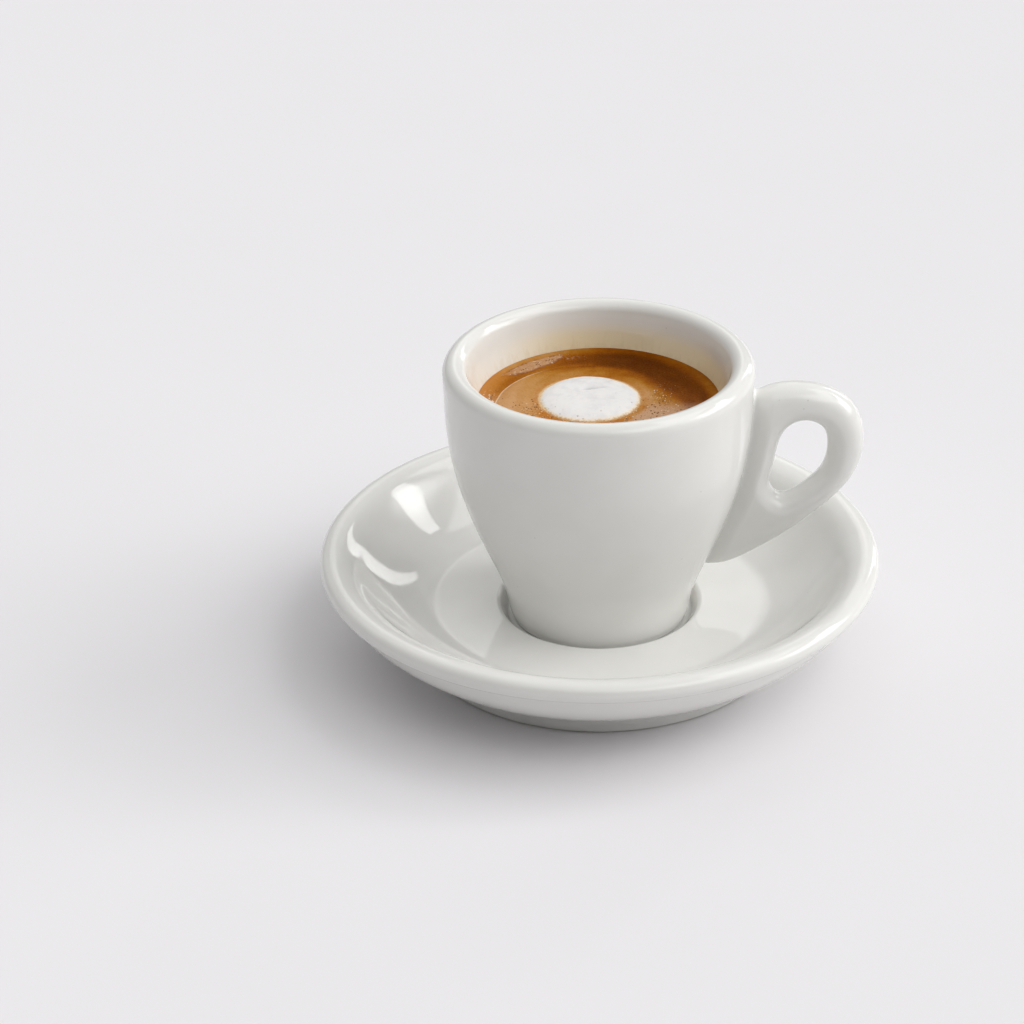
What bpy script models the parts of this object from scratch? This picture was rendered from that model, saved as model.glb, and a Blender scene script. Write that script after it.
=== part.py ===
"""Short macchiato: espresso with a spot of milk foam, in its cup, on its saucer.

The cup is one thick-walled piece with a cast loop handle. It stands in the well of a
deep saucer with a rounded rim. The drink fills the cup to about ten millimetres below
the lip, and the milk foam floats near its middle.

Frame: metres, +Z up. The origin is on the table under the centre of the saucer, and the
handle points along +X.
"""

import math

import bpy
import bmesh

# ---------------------------------------------------------------- driving dimensions
# Heights are above the table. A station is (radius, height).

GAP = 0.0003                  # clearance kept between two pieces that touch
TURN_STEPS = 48               # sides of the saucer and the cup

# Saucer
SAUCER_RADIUS = 0.0600        # widest point of the rim
SAUCER_RIM_HEIGHT = 0.0210    # height of that widest point
SAUCER_RIM_ROUND = 0.0021     # radius of the rim's outer round
SAUCER_STEP = 0.0003          # small step in, where the belly starts under the rim
SAUCER_WELL_RADIUS = 0.0213   # radius of the well that takes the cup
SAUCER_WELL_FLOOR = 0.0078
SAUCER_WELL_ROUND = 0.0011    # round on the lip of the well
SAUCER_FLAT_HEIGHT = 0.0105   # level ring round the well
SAUCER_FLAT_RADIUS = 0.0345   # where the level ring starts to rise
SAUCER_FOOT_OUTER = 0.0389
SAUCER_FOOT_INNER = 0.0355
SAUCER_FOOT_ROUND = 0.0006
SAUCER_UNDERSIDE = 0.0040     # height of the flat underside inside the foot

# Stations of the dish, from the level ring out to the top of the rim
SAUCER_DISH = (
    (0.0385, 0.0112),
    (0.0430, 0.0131),
    (0.0475, 0.0162),
    (0.0508, 0.0192),
    (0.0534, 0.0217),
    (0.0559, 0.0229),
)

# Stations of the outside, from the step under the rim down to the foot
SAUCER_BELLY = (
    (0.0574, 0.0172),
    (0.0552, 0.0144),
    (0.0525, 0.0117),
    (0.0490, 0.0090),
    (0.0450, 0.0067),
    (0.0416, 0.0049),
    (0.0397, 0.0032),
)

# Cup
CUP_LIP_RADIUS = 0.03025      # centre of the lip's round section
CUP_LIP_HEIGHT = 0.0651
CUP_LIP_ROUND = 0.00255       # radius of that section, half the lip's thickness
CUP_FOOT_RADIUS = 0.0187
CUP_FOOT_INNER = 0.0150
CUP_FOOT_ROUND = 0.0005
CUP_FOOT_HOLLOW = 0.0012      # depth of the hollow under the foot
CUP_BASE = SAUCER_WELL_FLOOR + GAP

# Stations of the outside, from below the lip down to the foot
CUP_OUTSIDE = (
    (0.0327, 0.0620),
    (0.0325, 0.0560),
    (0.0317, 0.0480),
    (0.0300, 0.0400),
    (0.0274, 0.0320),
    (0.0241, 0.0240),
    (0.0213, 0.0170),
    (0.0197, 0.0120),
    (0.0191, 0.0095),
)

# Stations of the inside, from the middle of the floor up to the lip
CUP_INSIDE = (
    (0.0048, 0.0160),
    (0.0096, 0.0190),
    (0.0146, 0.0258),
    (0.0186, 0.0350),
    (0.0216, 0.0440),
    (0.0239, 0.0520),
    (0.0256, 0.0580),
    (0.0269, 0.0620),
)
CUP_FLOOR = 0.0152            # height of the middle of the floor

# Handle: a flat loop with rounded edges, in the plane through the cup's axis
HANDLE_WIDTH = 0.0092         # across the loop's plane
HANDLE_ROUND = 0.0034         # round on its edges
HANDLE_ROOT = 0.0040          # how far the loop reaches into the wall
HANDLE_TIP_HEIGHT = 0.0200    # where the narrow tip meets the wall
HANDLE_TIP_WIDTH = 0.60       # width at the tip, as a share of HANDLE_WIDTH
HANDLE_FULL_HEIGHT = 0.0420   # from here up the loop has its full width

# Stations of the loop's outer edge, from the tip round to the top of the root
HANDLE_OUTER = (
    (0.0268, 0.0199),
    (0.0331, 0.0226),
    (0.0398, 0.0268),
    (0.0465, 0.0324),
    (0.0520, 0.0384),
    (0.0549, 0.0448),
    (0.0553, 0.0502),
    (0.0535, 0.0555),
    (0.0493, 0.0595),
    (0.0432, 0.0614),
    (0.0375, 0.0611),
    (0.0335, 0.0600),
)

# Stations of the finger hole, all the way round
HANDLE_HOLE = (
    (0.0380, 0.0353),
    (0.0363, 0.0378),
    (0.0370, 0.0434),
    (0.0382, 0.0488),
    (0.0408, 0.0526),
    (0.0440, 0.0534),
    (0.0471, 0.0515),
    (0.0481, 0.0474),
    (0.0464, 0.0416),
    (0.0426, 0.0377),
)

# Drink
DRINK_LEVEL = 0.0576
DRINK_STEPS = 36              # sides of the drink and the foam

# Milk foam
FOAM_RADIUS = 0.0113
FOAM_CENTRE = (-0.0012, 0.0012)
FOAM_THICKNESS = 0.0011


# ---------------------------------------------------------------- scene and materials

def clear_scene():
    """Remove every object of the open file."""
    for item in list(bpy.data.objects):
        bpy.data.objects.remove(item, do_unlink=True)


def make_collection(name):
    """Return a new collection in the scene."""
    group = bpy.data.collections.new(name)
    bpy.context.scene.collection.children.link(group)
    return group


def make_material(name, colour, roughness, metallic=0.0):
    """Return a Principled material of one colour."""
    material = bpy.data.materials.new(name)
    material.use_nodes = True
    shader = material.node_tree.nodes["Principled BSDF"]
    shader.inputs["Base Color"].default_value = (*colour, 1.0)
    shader.inputs["Roughness"].default_value = roughness
    shader.inputs["Metallic"].default_value = metallic
    material.diffuse_color = (*colour, 1.0)
    return material


# ---------------------------------------------------------------- outline helpers

def smooth_path(stations, parts):
    """Return points on a Catmull-Rom curve through the stations, ends included."""
    first = tuple(2 * a - b for a, b in zip(stations[0], stations[1]))
    last = tuple(2 * a - b for a, b in zip(stations[-1], stations[-2]))
    ring = [first, *stations, last]
    points = []
    for k in range(1, len(ring) - 2):
        for step in range(parts):
            points.append(catmull_rom(ring[k - 1:k + 3], step / parts))
    points.append(tuple(stations[-1]))
    return points


def smooth_loop(stations, parts):
    """Return points on a closed Catmull-Rom curve through the stations."""
    count = len(stations)
    points = []
    for k in range(count):
        four = [stations[(k + shift) % count] for shift in (-1, 0, 1, 2)]
        for step in range(parts):
            points.append(catmull_rom(four, step / parts))
    return points


def catmull_rom(four, t):
    """Return the point at share t between the middle two of four stations."""
    a, b, c, d = four
    weights = (
        -0.5 * t + t * t - 0.5 * t ** 3,
        1.0 - 2.5 * t * t + 1.5 * t ** 3,
        0.5 * t + 2.0 * t * t - 1.5 * t ** 3,
        -0.5 * t * t + 0.5 * t ** 3,
    )
    return tuple(
        weights[0] * p + weights[1] * q + weights[2] * r + weights[3] * s
        for p, q, r, s in zip(a, b, c, d)
    )


def arc(centre, radius, start, end, parts):
    """Return points on an arc, angles in degrees from the +radius direction."""
    points = []
    for step in range(parts + 1):
        angle = math.radians(start + (end - start) * step / parts)
        points.append((centre[0] + radius * math.cos(angle),
                       centre[1] + radius * math.sin(angle)))
    return points


def radius_at(path, height):
    """Return the radius of a rising or falling path at the given height."""
    for (r0, z0), (r1, z1) in zip(path, path[1:]):
        if min(z0, z1) <= height <= max(z0, z1) and z0 != z1:
            return r0 + (r1 - r0) * (height - z0) / (z1 - z0)
    return path[0][0] if abs(height - path[0][1]) < abs(height - path[-1][1]) else path[-1][0]


# ---------------------------------------------------------------- mesh helpers

def turned(name, profile, steps, material, group):
    """Return an object that turns a profile of (radius, height) points about Z."""
    mesh = bpy.data.meshes.new(name)
    vertices = [(r, 0.0, z) for r, z in profile]
    edges = [(k, k + 1) for k in range(len(profile) - 1)]
    mesh.from_pydata(vertices, edges, [])
    mesh.materials.append(material)
    item = bpy.data.objects.new(name, mesh)
    group.objects.link(item)
    screw = item.modifiers.new("turn", "SCREW")
    screw.axis = "Z"
    screw.steps = steps
    screw.render_steps = steps
    screw.use_merge_vertices = True
    screw.merge_threshold = 0.00002
    screw.use_smooth_shade = True
    return item


def outline_spline(curve, points):
    """Add a closed straight-sided spline through the points to a flat curve."""
    spline = curve.splines.new("POLY")
    spline.points.add(len(points) - 1)
    for target, (x, y) in zip(spline.points, points):
        target.co = (x, y, 0.0, 1.0)
    spline.use_cyclic_u = True


def mesh_from_curve(source, name, group):
    """Return a welded mesh object in the place of a curve object, which is removed."""
    bpy.context.view_layer.update()
    graph = bpy.context.evaluated_depsgraph_get()
    mesh = bpy.data.meshes.new_from_object(source.evaluated_get(graph))
    work = bmesh.new()
    work.from_mesh(mesh)
    bmesh.ops.remove_doubles(work, verts=work.verts, dist=0.00001)
    bmesh.ops.recalc_face_normals(work, faces=work.faces)
    work.to_mesh(mesh)
    work.free()
    item = bpy.data.objects.new(name, mesh)
    item.matrix_world = source.matrix_world
    group.objects.link(item)
    curve = source.data
    bpy.data.objects.remove(source, do_unlink=True)
    bpy.data.curves.remove(curve)
    return item


# ---------------------------------------------------------------- profiles

def saucer_profile():
    """Return the saucer's section, from the well's middle over the rim and back."""
    well_round = SAUCER_WELL_ROUND
    lip_centre = (SAUCER_WELL_RADIUS + well_round, SAUCER_FLAT_HEIGHT - well_round)
    top = [(0.0, SAUCER_WELL_FLOOR),
           (SAUCER_WELL_RADIUS - 0.0010, SAUCER_WELL_FLOOR),
           (SAUCER_WELL_RADIUS, SAUCER_WELL_FLOOR + 0.0008)]
    top += arc(lip_centre, well_round, 180.0, 90.0, 3)
    rim_centre = (SAUCER_RADIUS - SAUCER_RIM_ROUND, SAUCER_RIM_HEIGHT)
    rim = arc(rim_centre, SAUCER_RIM_ROUND, 80.0, -50.0, 6)
    dish = smooth_path([(SAUCER_FLAT_RADIUS, SAUCER_FLAT_HEIGHT), *SAUCER_DISH, rim[0]], 1)
    foot_side = (SAUCER_FOOT_OUTER, SAUCER_FOOT_ROUND)
    step = (rim[-1][0] - SAUCER_STEP, rim[-1][1] - SAUCER_STEP * 0.5)
    belly = smooth_path([step, *SAUCER_BELLY, foot_side], 1)
    foot = [(SAUCER_FOOT_OUTER - SAUCER_FOOT_ROUND, 0.0),
            (SAUCER_FOOT_INNER + SAUCER_FOOT_ROUND, 0.0),
            (SAUCER_FOOT_INNER, SAUCER_FOOT_ROUND),
            (SAUCER_FOOT_INNER - 0.0008, SAUCER_UNDERSIDE - 0.0006),
            (SAUCER_FOOT_INNER - 0.0022, SAUCER_UNDERSIDE),
            (0.0, SAUCER_UNDERSIDE)]
    return top + dish + rim[1:] + belly + foot


def cup_outside():
    """Return the cup's outside from the lip's widest point down to the foot."""
    lip_side = (CUP_LIP_RADIUS + CUP_LIP_ROUND, CUP_LIP_HEIGHT)
    foot_side = (CUP_FOOT_RADIUS, CUP_BASE + CUP_FOOT_ROUND)
    return smooth_path([lip_side, *CUP_OUTSIDE, foot_side], 2)


def cup_inside():
    """Return the cup's inside from the middle of the floor up to the lip."""
    lip_side = (CUP_LIP_RADIUS - CUP_LIP_ROUND, CUP_LIP_HEIGHT)
    return smooth_path([(0.0, CUP_FLOOR), *CUP_INSIDE, lip_side], 1)


def cup_profile():
    """Return the cup's section, from the floor's middle over the lip and back."""
    lip = arc((CUP_LIP_RADIUS, CUP_LIP_HEIGHT), CUP_LIP_ROUND, 180.0, 0.0, 8)
    hollow = CUP_BASE + CUP_FOOT_HOLLOW
    foot = [(CUP_FOOT_RADIUS - CUP_FOOT_ROUND, CUP_BASE),
            (CUP_FOOT_INNER + CUP_FOOT_ROUND, CUP_BASE),
            (CUP_FOOT_INNER, CUP_BASE + CUP_FOOT_ROUND),
            (CUP_FOOT_INNER - 0.0007, hollow),
            (0.0, hollow)]
    return cup_inside()[:-1] + lip + cup_outside()[1:] + foot


def drink_profile():
    """Return the drink's section: its level, then down beside the cup's inside."""
    inside = cup_inside()
    edge = radius_at(inside[1:], DRINK_LEVEL) - GAP
    points = [(0.0, DRINK_LEVEL), (edge * 0.5, DRINK_LEVEL), (edge, DRINK_LEVEL)]
    for (r0, z0), (r1, z1), (r2, z2) in reversed(list(zip(inside, inside[1:], inside[2:]))):
        if z1 > DRINK_LEVEL - 0.0010:
            continue
        length = math.hypot(r2 - r0, z2 - z0)
        shift_r = -(z2 - z0) / length * GAP * 1.3
        shift_z = (r2 - r0) / length * GAP * 1.3
        points.append((r1 + shift_r, z1 + shift_z))
    points.append((0.0, CUP_FLOOR + GAP * 1.3))
    return points


def foam_profile():
    """Return the foam's section: a low cushion with a soft edge."""
    top = FOAM_THICKNESS
    return [(0.0, top),
            (FOAM_RADIUS * 0.60, top * 0.97),
            (FOAM_RADIUS * 0.86, top * 0.80),
            (FOAM_RADIUS * 0.97, top * 0.50),
            (FOAM_RADIUS, top * 0.22),
            (FOAM_RADIUS * 0.985, 0.0),
            (0.0, 0.0)]


# ---------------------------------------------------------------- pieces

def make_handle(material, group):
    """Return the handle loop, with its roots inside the cup's wall."""
    wall = cup_outside()
    foot = HANDLE_TIP_HEIGHT
    top = HANDLE_OUTER[-1][1]
    root = []
    for step in range(5):
        height = top - 0.0015 - (top - 0.0015 - foot) * step / 4
        root.append((radius_at(wall, height) - HANDLE_ROOT, height))
    curve = bpy.data.curves.new("handle_outline", "CURVE")
    curve.dimensions = "2D"
    curve.fill_mode = "BOTH"
    curve.extrude = HANDLE_WIDTH / 2 - HANDLE_ROUND
    curve.bevel_depth = HANDLE_ROUND
    curve.bevel_resolution = 2
    curve.offset = -HANDLE_ROUND
    outline_spline(curve, smooth_loop([*HANDLE_OUTER, *root], 3))
    outline_spline(curve, smooth_loop(HANDLE_HOLE, 4))
    source = bpy.data.objects.new("handle_curve", curve)
    source.rotation_euler = (math.radians(90.0), 0.0, 0.0)
    group.objects.link(source)
    handle = mesh_from_curve(source, "handle_loop", group)
    narrow_tip(handle.data)
    handle.data.materials.clear()
    handle.data.materials.append(material)
    handle.data.shade_smooth()
    handle.hide_render = True
    handle.display_type = "WIRE"
    return handle


def narrow_tip(mesh):
    """Narrow the loop's lower part towards its tip, in the mesh's own height y."""
    for vertex in mesh.vertices:
        share = (vertex.co.y - HANDLE_TIP_HEIGHT) / (HANDLE_FULL_HEIGHT - HANDLE_TIP_HEIGHT)
        share = min(1.0, max(0.0, share))
        soft = share * share * (3.0 - 2.0 * share)
        vertex.co.z *= HANDLE_TIP_WIDTH + (1.0 - HANDLE_TIP_WIDTH) * soft


def make_cup(material, group, cutters):
    """Return the cup: its turned body and its handle as one solid."""
    handle = make_handle(material, cutters)
    cup = turned("cup", cup_profile(), TURN_STEPS, material, group)
    join = cup.modifiers.new("join_handle", "BOOLEAN")
    join.operation = "UNION"
    join.solver = "EXACT"
    join.object = handle
    return cup


def make_foam(material, group):
    """Return the spot of milk foam, on the drink and a little off its middle."""
    foam = turned("milk_foam", foam_profile(), DRINK_STEPS, material, group)
    foam.location = (*FOAM_CENTRE, DRINK_LEVEL + GAP)
    return foam


def main():
    """Build the saucer, the cup, the drink and its foam."""
    clear_scene()
    group = make_collection("short_macchiato")
    cutters = make_collection("short_macchiato_joined_shapes")
    glaze = make_material("saucer_glaze", (0.84, 0.83, 0.80), 0.08)
    cup_glaze = make_material("cup_glaze", (0.84, 0.83, 0.80), 0.08)
    crema = make_material("espresso_crema", (0.36, 0.16, 0.035), 0.22)
    foam = make_material("milk_foam_white", (0.80, 0.74, 0.66), 0.45)
    turned("saucer", saucer_profile(), TURN_STEPS, glaze, group)
    make_cup(cup_glaze, group, cutters)
    turned("coffee", drink_profile(), DRINK_STEPS, crema, group)
    make_foam(foam, group)


main()
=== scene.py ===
"""Short macchiato: the finished look of the cup, its saucer, the drink and its foam.

Every piece is a surface worked out from two running numbers on a grid, in metres, in the
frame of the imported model: +Z up, the origin on the table under the saucer's centre, and
the cup's handle along +X.
"""

import logging
import math
from dataclasses import dataclass, field
from enum import Enum

import bpy
import numpy as np
from mathutils import Matrix, Vector


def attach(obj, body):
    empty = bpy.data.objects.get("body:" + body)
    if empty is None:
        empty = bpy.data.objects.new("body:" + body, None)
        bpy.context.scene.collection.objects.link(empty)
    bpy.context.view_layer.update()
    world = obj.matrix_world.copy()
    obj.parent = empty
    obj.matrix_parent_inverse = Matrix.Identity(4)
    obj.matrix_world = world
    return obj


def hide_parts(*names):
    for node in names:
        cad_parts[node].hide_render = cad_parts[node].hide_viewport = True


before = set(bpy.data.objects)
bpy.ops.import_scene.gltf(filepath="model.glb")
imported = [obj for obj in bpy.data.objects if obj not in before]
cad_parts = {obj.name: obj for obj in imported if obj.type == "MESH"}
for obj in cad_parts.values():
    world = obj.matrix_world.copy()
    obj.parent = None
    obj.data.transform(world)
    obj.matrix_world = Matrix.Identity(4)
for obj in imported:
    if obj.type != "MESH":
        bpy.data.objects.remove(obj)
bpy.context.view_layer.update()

Array = np.ndarray
Station = tuple[float, float]
Span = tuple[float, float]
Colour = tuple[float, float, float]

MM = 0.001
log = logging.getLogger("short_macchiato")


class Slot(Enum):
    """The record's material slots, by what they cover."""

    SAUCER = "saucer_glaze"
    CUP = "cup_glaze"
    CREMA = "espresso_crema"
    FOAM = "milk_foam_white"


class Stain(Enum):
    """What has dried on a glaze."""

    CLEAN = "clean"
    # The drink line also brings painted warm bounce light on the inner wall.
    DRINK_LINE_AND_BOUNCE_LIGHT = "drink line"


# ------------------------------------------------------------------ curves in a plane

def spline_through(stations: list[Station] | Array, parts: int,
                   start: Station | None = None, end: Station | None = None) -> Array:
    """Points on a cubic spline through the stations.

    The running number is the chord length. Between two stations the curve is the cubic
    that meets both with given slopes, and the slopes solve the three-row system that
    keeps the bend even across every station. An end without a slope is left unbent.

    Args:
        stations: the points that the curve passes through.
        parts: number of steps between two stations.
        start: direction at the first station.
        end: direction at the last station.

    Returns:
        An array of points, one row each, the last station included.
    """
    points = np.asarray(stations, float)
    step = np.diff(points, axis=0)
    length = np.linalg.norm(step, axis=1)
    count = len(points)
    system = np.zeros((count, count))
    right = np.zeros_like(points)
    inner = np.arange(1, count - 1)
    system[inner, inner - 1] = 1.0 / length[:-1]
    system[inner, inner] = 2.0 / length[:-1] + 2.0 / length[1:]
    system[inner, inner + 1] = 1.0 / length[1:]
    pull = 3.0 * step / length[:, None] ** 2
    right[1:-1] = pull[:-1] + pull[1:]
    for row, near, slope, chord in ((0, 1, start, 0), (-1, -2, end, -1)):
        if slope is None:
            system[row, row], system[row, near] = 2.0, 1.0
            right[row] = 3.0 * step[chord] / length[chord]
        else:
            system[row, row] = 1.0
            right[row] = np.asarray(slope, float) / np.linalg.norm(slope)
    slopes = np.linalg.solve(system, right)
    t = (np.arange(parts) / parts)[None, :, None]
    p0, p1 = points[:-1, None], points[1:, None]
    m0, m1 = (slopes[:-1] * length[:, None])[:, None], (slopes[1:] * length[:, None])[:, None]
    curve = ((2 * t ** 3 - 3 * t ** 2 + 1) * p0 + (t ** 3 - 2 * t ** 2 + t) * m0
             + (3 * t ** 2 - 2 * t ** 3) * p1 + (t ** 3 - t ** 2) * m1)
    return np.vstack([curve.reshape(-1, 2), points[-1]])


def loop_through(stations: list[Station], parts: int) -> Array:
    """Points on a closed spline through the stations: the open one, run three stations past.

    Args:
        stations: the points that the curve passes through.
        parts: number of steps between two stations.

    Returns:
        An array of points, one row each, the first not repeated.
    """
    extra = 3
    ring = [*stations[-extra:], *stations, *stations[:extra + 1]]
    curve = spline_through(ring, parts)
    return curve[extra * parts:(extra + len(stations)) * parts]


def arc(centre: Station, radius: float, start: float, end: float, parts: int) -> Array:
    """Points on an arc of a circle, its angles in degrees from the first axis."""
    angle = np.radians(np.linspace(start, end, parts + 1))
    return np.asarray(centre) + radius * np.column_stack([np.cos(angle), np.sin(angle)])


def line(start: Station, end: Station, parts: int) -> Array:
    """Points on a straight line, both ends included."""
    share = np.linspace(0.0, 1.0, parts + 1)[:, None]
    return (1.0 - share) * np.asarray(start, float) + share * np.asarray(end, float)


def foot_ring(outer: float, inner: float, base: float, rounding: float, slack: float,
              parts: int) -> list[Array]:
    """A foot's section: its outer round, the level line it stands on, its inner round.

    Args:
        outer: the foot's outer radius.
        inner: its inner radius.
        base: the height that it stands at.
        rounding: radius of both rounds.
        slack: how far inside the outer round the level line starts.
        parts: number of steps in each round.

    Returns:
        The three stretches, from the outside inwards.
    """
    outside, inside = (outer - rounding, base + rounding), (inner + rounding, base + rounding)
    return [arc(outside, rounding, -15.0, -90.0, parts),
            line((outside[0] - slack, base), (inside[0], base), 3),
            arc(inside, rounding, -105.0, -180.0, parts)]


def without_doubles(path: Array, least: float = 1e-7) -> Array:
    """The path without points closer than `least` to the one before."""
    keep = np.concatenate([[True], np.linalg.norm(np.diff(path, axis=0), axis=1) > least])
    return path[keep]


def even_steps(path: Array, count: int) -> Array:
    """`count` points at equal distances along an open path, its ends included.

    Args:
        path: array of points, one row each.
        count: number of points wanted.

    Returns:
        Array of the new points, one row each.
    """
    run = np.concatenate([[0.0], np.cumsum(np.linalg.norm(np.diff(path, axis=0), axis=1))])
    at = np.linspace(0.0, run[-1], count)
    return np.column_stack([np.interp(at, run, path[:, k]) for k in range(path.shape[1])])


def distance_to(points: Array, path: Array) -> Array:
    """Distance of each point to a path of straight stretches.

    On each stretch the nearest place is the point's own shadow on it, held between the
    stretch's ends, and the least of those distances counts.

    Args:
        points: array of shape (..., 2).
        path: array of shape (n, 2).

    Returns:
        The distances, shaped as the points without their last axis.
    """
    flat = points.reshape(-1, 1, 2)
    start, step = path[None, :-1], np.diff(path, axis=0)[None]
    share = ((flat - start) * step).sum(-1) / np.maximum((step ** 2).sum(-1), 1e-18)
    near = start + np.clip(share, 0.0, 1.0)[..., None] * step
    return np.linalg.norm(flat - near, axis=-1).min(1).reshape(points.shape[:-1])


def smooth_share(value: Array, low: float, high: float) -> Array:
    """0 below `low`, 1 above `high`, and 3t^2 - 2t^3 in between."""
    t = np.clip((value - low) / (high - low), 0.0, 1.0)
    return t * t * (3.0 - 2.0 * t)


def bell(distance: Array, width: float, power: float = 2.0) -> Array:
    """A bell of height 1: exp(-|distance / width|^power)."""
    return np.exp(-np.abs(distance / width) ** power)


def edge_round(distance: Array, radius: float, power: float = 2.0) -> Array:
    """Share of full height at a distance from an edge: a quarter of a rounded square."""
    t = np.clip(1.0 - distance / radius, 0.0, 1.0)
    return (1.0 - t ** power) ** (1.0 / power)


# ------------------------------------------------------------------ surfaces

def turned(profile: Array, steps: int) -> Array:
    """Points of a profile of (radius, height) carried round the upright axis.

    Args:
        profile: array of shape (rows, 2).
        steps: number of columns round the axis.

    Returns:
        Array of shape (rows, steps, 3): (r cos a, r sin a, z).
    """
    angle = np.arange(steps) * (2.0 * math.pi / steps)
    radius, height = profile[:, :1], profile[:, 1:]
    return np.stack([radius * np.cos(angle), radius * np.sin(angle),
                     np.broadcast_to(height, (len(profile), steps))], axis=-1)


def grid_normals(grid: Array, closed_rows: bool) -> Array:
    """Unit vectors across a grid: the cross product of its two central differences.

    Args:
        grid: array of shape (rows, columns, 3), closed along its columns.
        closed_rows: whether the rows run round as well.

    Returns:
        Array of the same shape. Their side depends on the way that the grid runs.
    """
    if closed_rows:
        along = np.roll(grid, -1, 0) - np.roll(grid, 1, 0)
    else:
        along = np.gradient(grid, axis=0)
    across = np.roll(grid, -1, 1) - np.roll(grid, 1, 1)
    normal = np.cross(along, across)
    return normal / np.maximum(np.linalg.norm(normal, axis=-1, keepdims=True), 1e-15)


def waves(points: Array, seed: int, count: int, length: float) -> Array:
    """Smooth unevenness from -1 to 1: a sum of sine waves in random directions.

    Args:
        points: array of shape (..., 3).
        seed: start of the random numbers.
        count: number of waves.
        length: mean wave length, in the points' own unit.

    Returns:
        The value at each point, shaped as the points without their last axis.
    """
    draw = np.random.default_rng(seed)
    way = draw.normal(size=(count, 3))
    way /= np.linalg.norm(way, axis=1, keepdims=True)
    way *= (2.0 * math.pi / (length * draw.uniform(0.6, 1.6, (count, 1))))
    phase = draw.uniform(0.0, 2.0 * math.pi, count)
    return np.sin(points @ way.T + phase).sum(-1) / (count ** 0.5 * 1.8)


@dataclass(frozen=True)
class Waver:
    """A smooth unevenness, on which `waves` says more.

    It has the start of its random numbers, how far it reaches to either side, the number
    of its waves, and their mean length in the unit of the points that it is asked for.
    """

    seed: int
    reach: float
    count: int
    length: float

    def at(self, points: Array) -> Array:
        """Its value at each point: the reach times the sum of waves."""
        return self.reach * waves(points, self.seed, self.count, self.length)


def on_level(x: Array, y: Array) -> Array:
    """Points of a level plane, for what varies along it."""
    return np.stack([x, y, np.zeros_like(x)], axis=-1)


@dataclass
class Shell:
    """A closed surface: its points, its four-sided faces and its three-sided ones."""

    points: Array
    quads: Array
    triangles: Array
    values: dict[str, Array] = field(default_factory=dict)

    def volume(self) -> float:
        """Volume inside, below zero where the faces point inwards.

        Returns:
            The sum of a . (b x c) / 6 over the faces cut into triangles a, b, c.
        """
        fan = np.vstack([self.triangles, self.quads[:, :3], self.quads[:, [0, 2, 3]]])
        a, b, c = (self.points[fan[:, k]] for k in range(3))
        return float(np.einsum("ij,ij->i", a, np.cross(b, c)).sum() / 6.0)

    def facing_out(self) -> "Shell":
        """The same surface with its faces turned outwards.

        Returns:
            This shell, or one with each face run the other way.
        """
        if self.volume() >= 0.0:
            return self
        return Shell(self.points, self.quads[:, ::-1], self.triangles[:, ::-1], self.values)


def shell_of_turning(grid: Array) -> Shell:
    """A closed shell from a turned grid whose first and last rows lie on the axis.

    Each of those rows becomes one point, ringed by three-sided faces, and every other
    pair of rows is joined by four-sided ones.

    Args:
        grid: array of shape (rows, steps, 3).

    Returns:
        The shell, with its values still empty.
    """
    rows, steps = grid.shape[:2]
    points = np.vstack([grid[0, :1], grid[1:-1].reshape(-1, 3), grid[-1, :1]])
    here = np.arange(steps)
    following = (here + 1) % steps
    first = 1 + here
    last = 1 + (rows - 3) * steps + here
    top = np.column_stack([np.zeros(steps, int), first, 1 + following])
    under = np.column_stack([last, np.full(steps, len(points) - 1),
                             1 + (rows - 3) * steps + following])
    row = (1 + np.arange(rows - 3) * steps)[:, None]
    quads = np.stack([row + here, row + steps + here,
                      row + steps + following, row + following], axis=-1)
    return Shell(points, quads.reshape(-1, 4), np.vstack([top, under]))


def values_of_turning(values: Array) -> Array:
    """Values on a turned grid, one for each point of its shell."""
    return np.concatenate([values[0, :1], values[1:-1].ravel(), values[-1, :1]])


def shell_of_ring(grid: Array) -> Shell:
    """A closed shell from a grid that runs round both ways.

    Args:
        grid: array of shape (rows, columns, 3).

    Returns:
        The shell, of four-sided faces only.
    """
    rows, columns = grid.shape[:2]
    i, j = np.meshgrid(np.arange(rows), np.arange(columns), indexing="ij")
    down, side = (i + 1) % rows, (j + 1) % columns
    quads = np.stack([i * columns + j, down * columns + j,
                      down * columns + side, i * columns + side], axis=-1)
    return Shell(grid.reshape(-1, 3), quads.reshape(-1, 4), np.zeros((0, 3), int))


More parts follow.
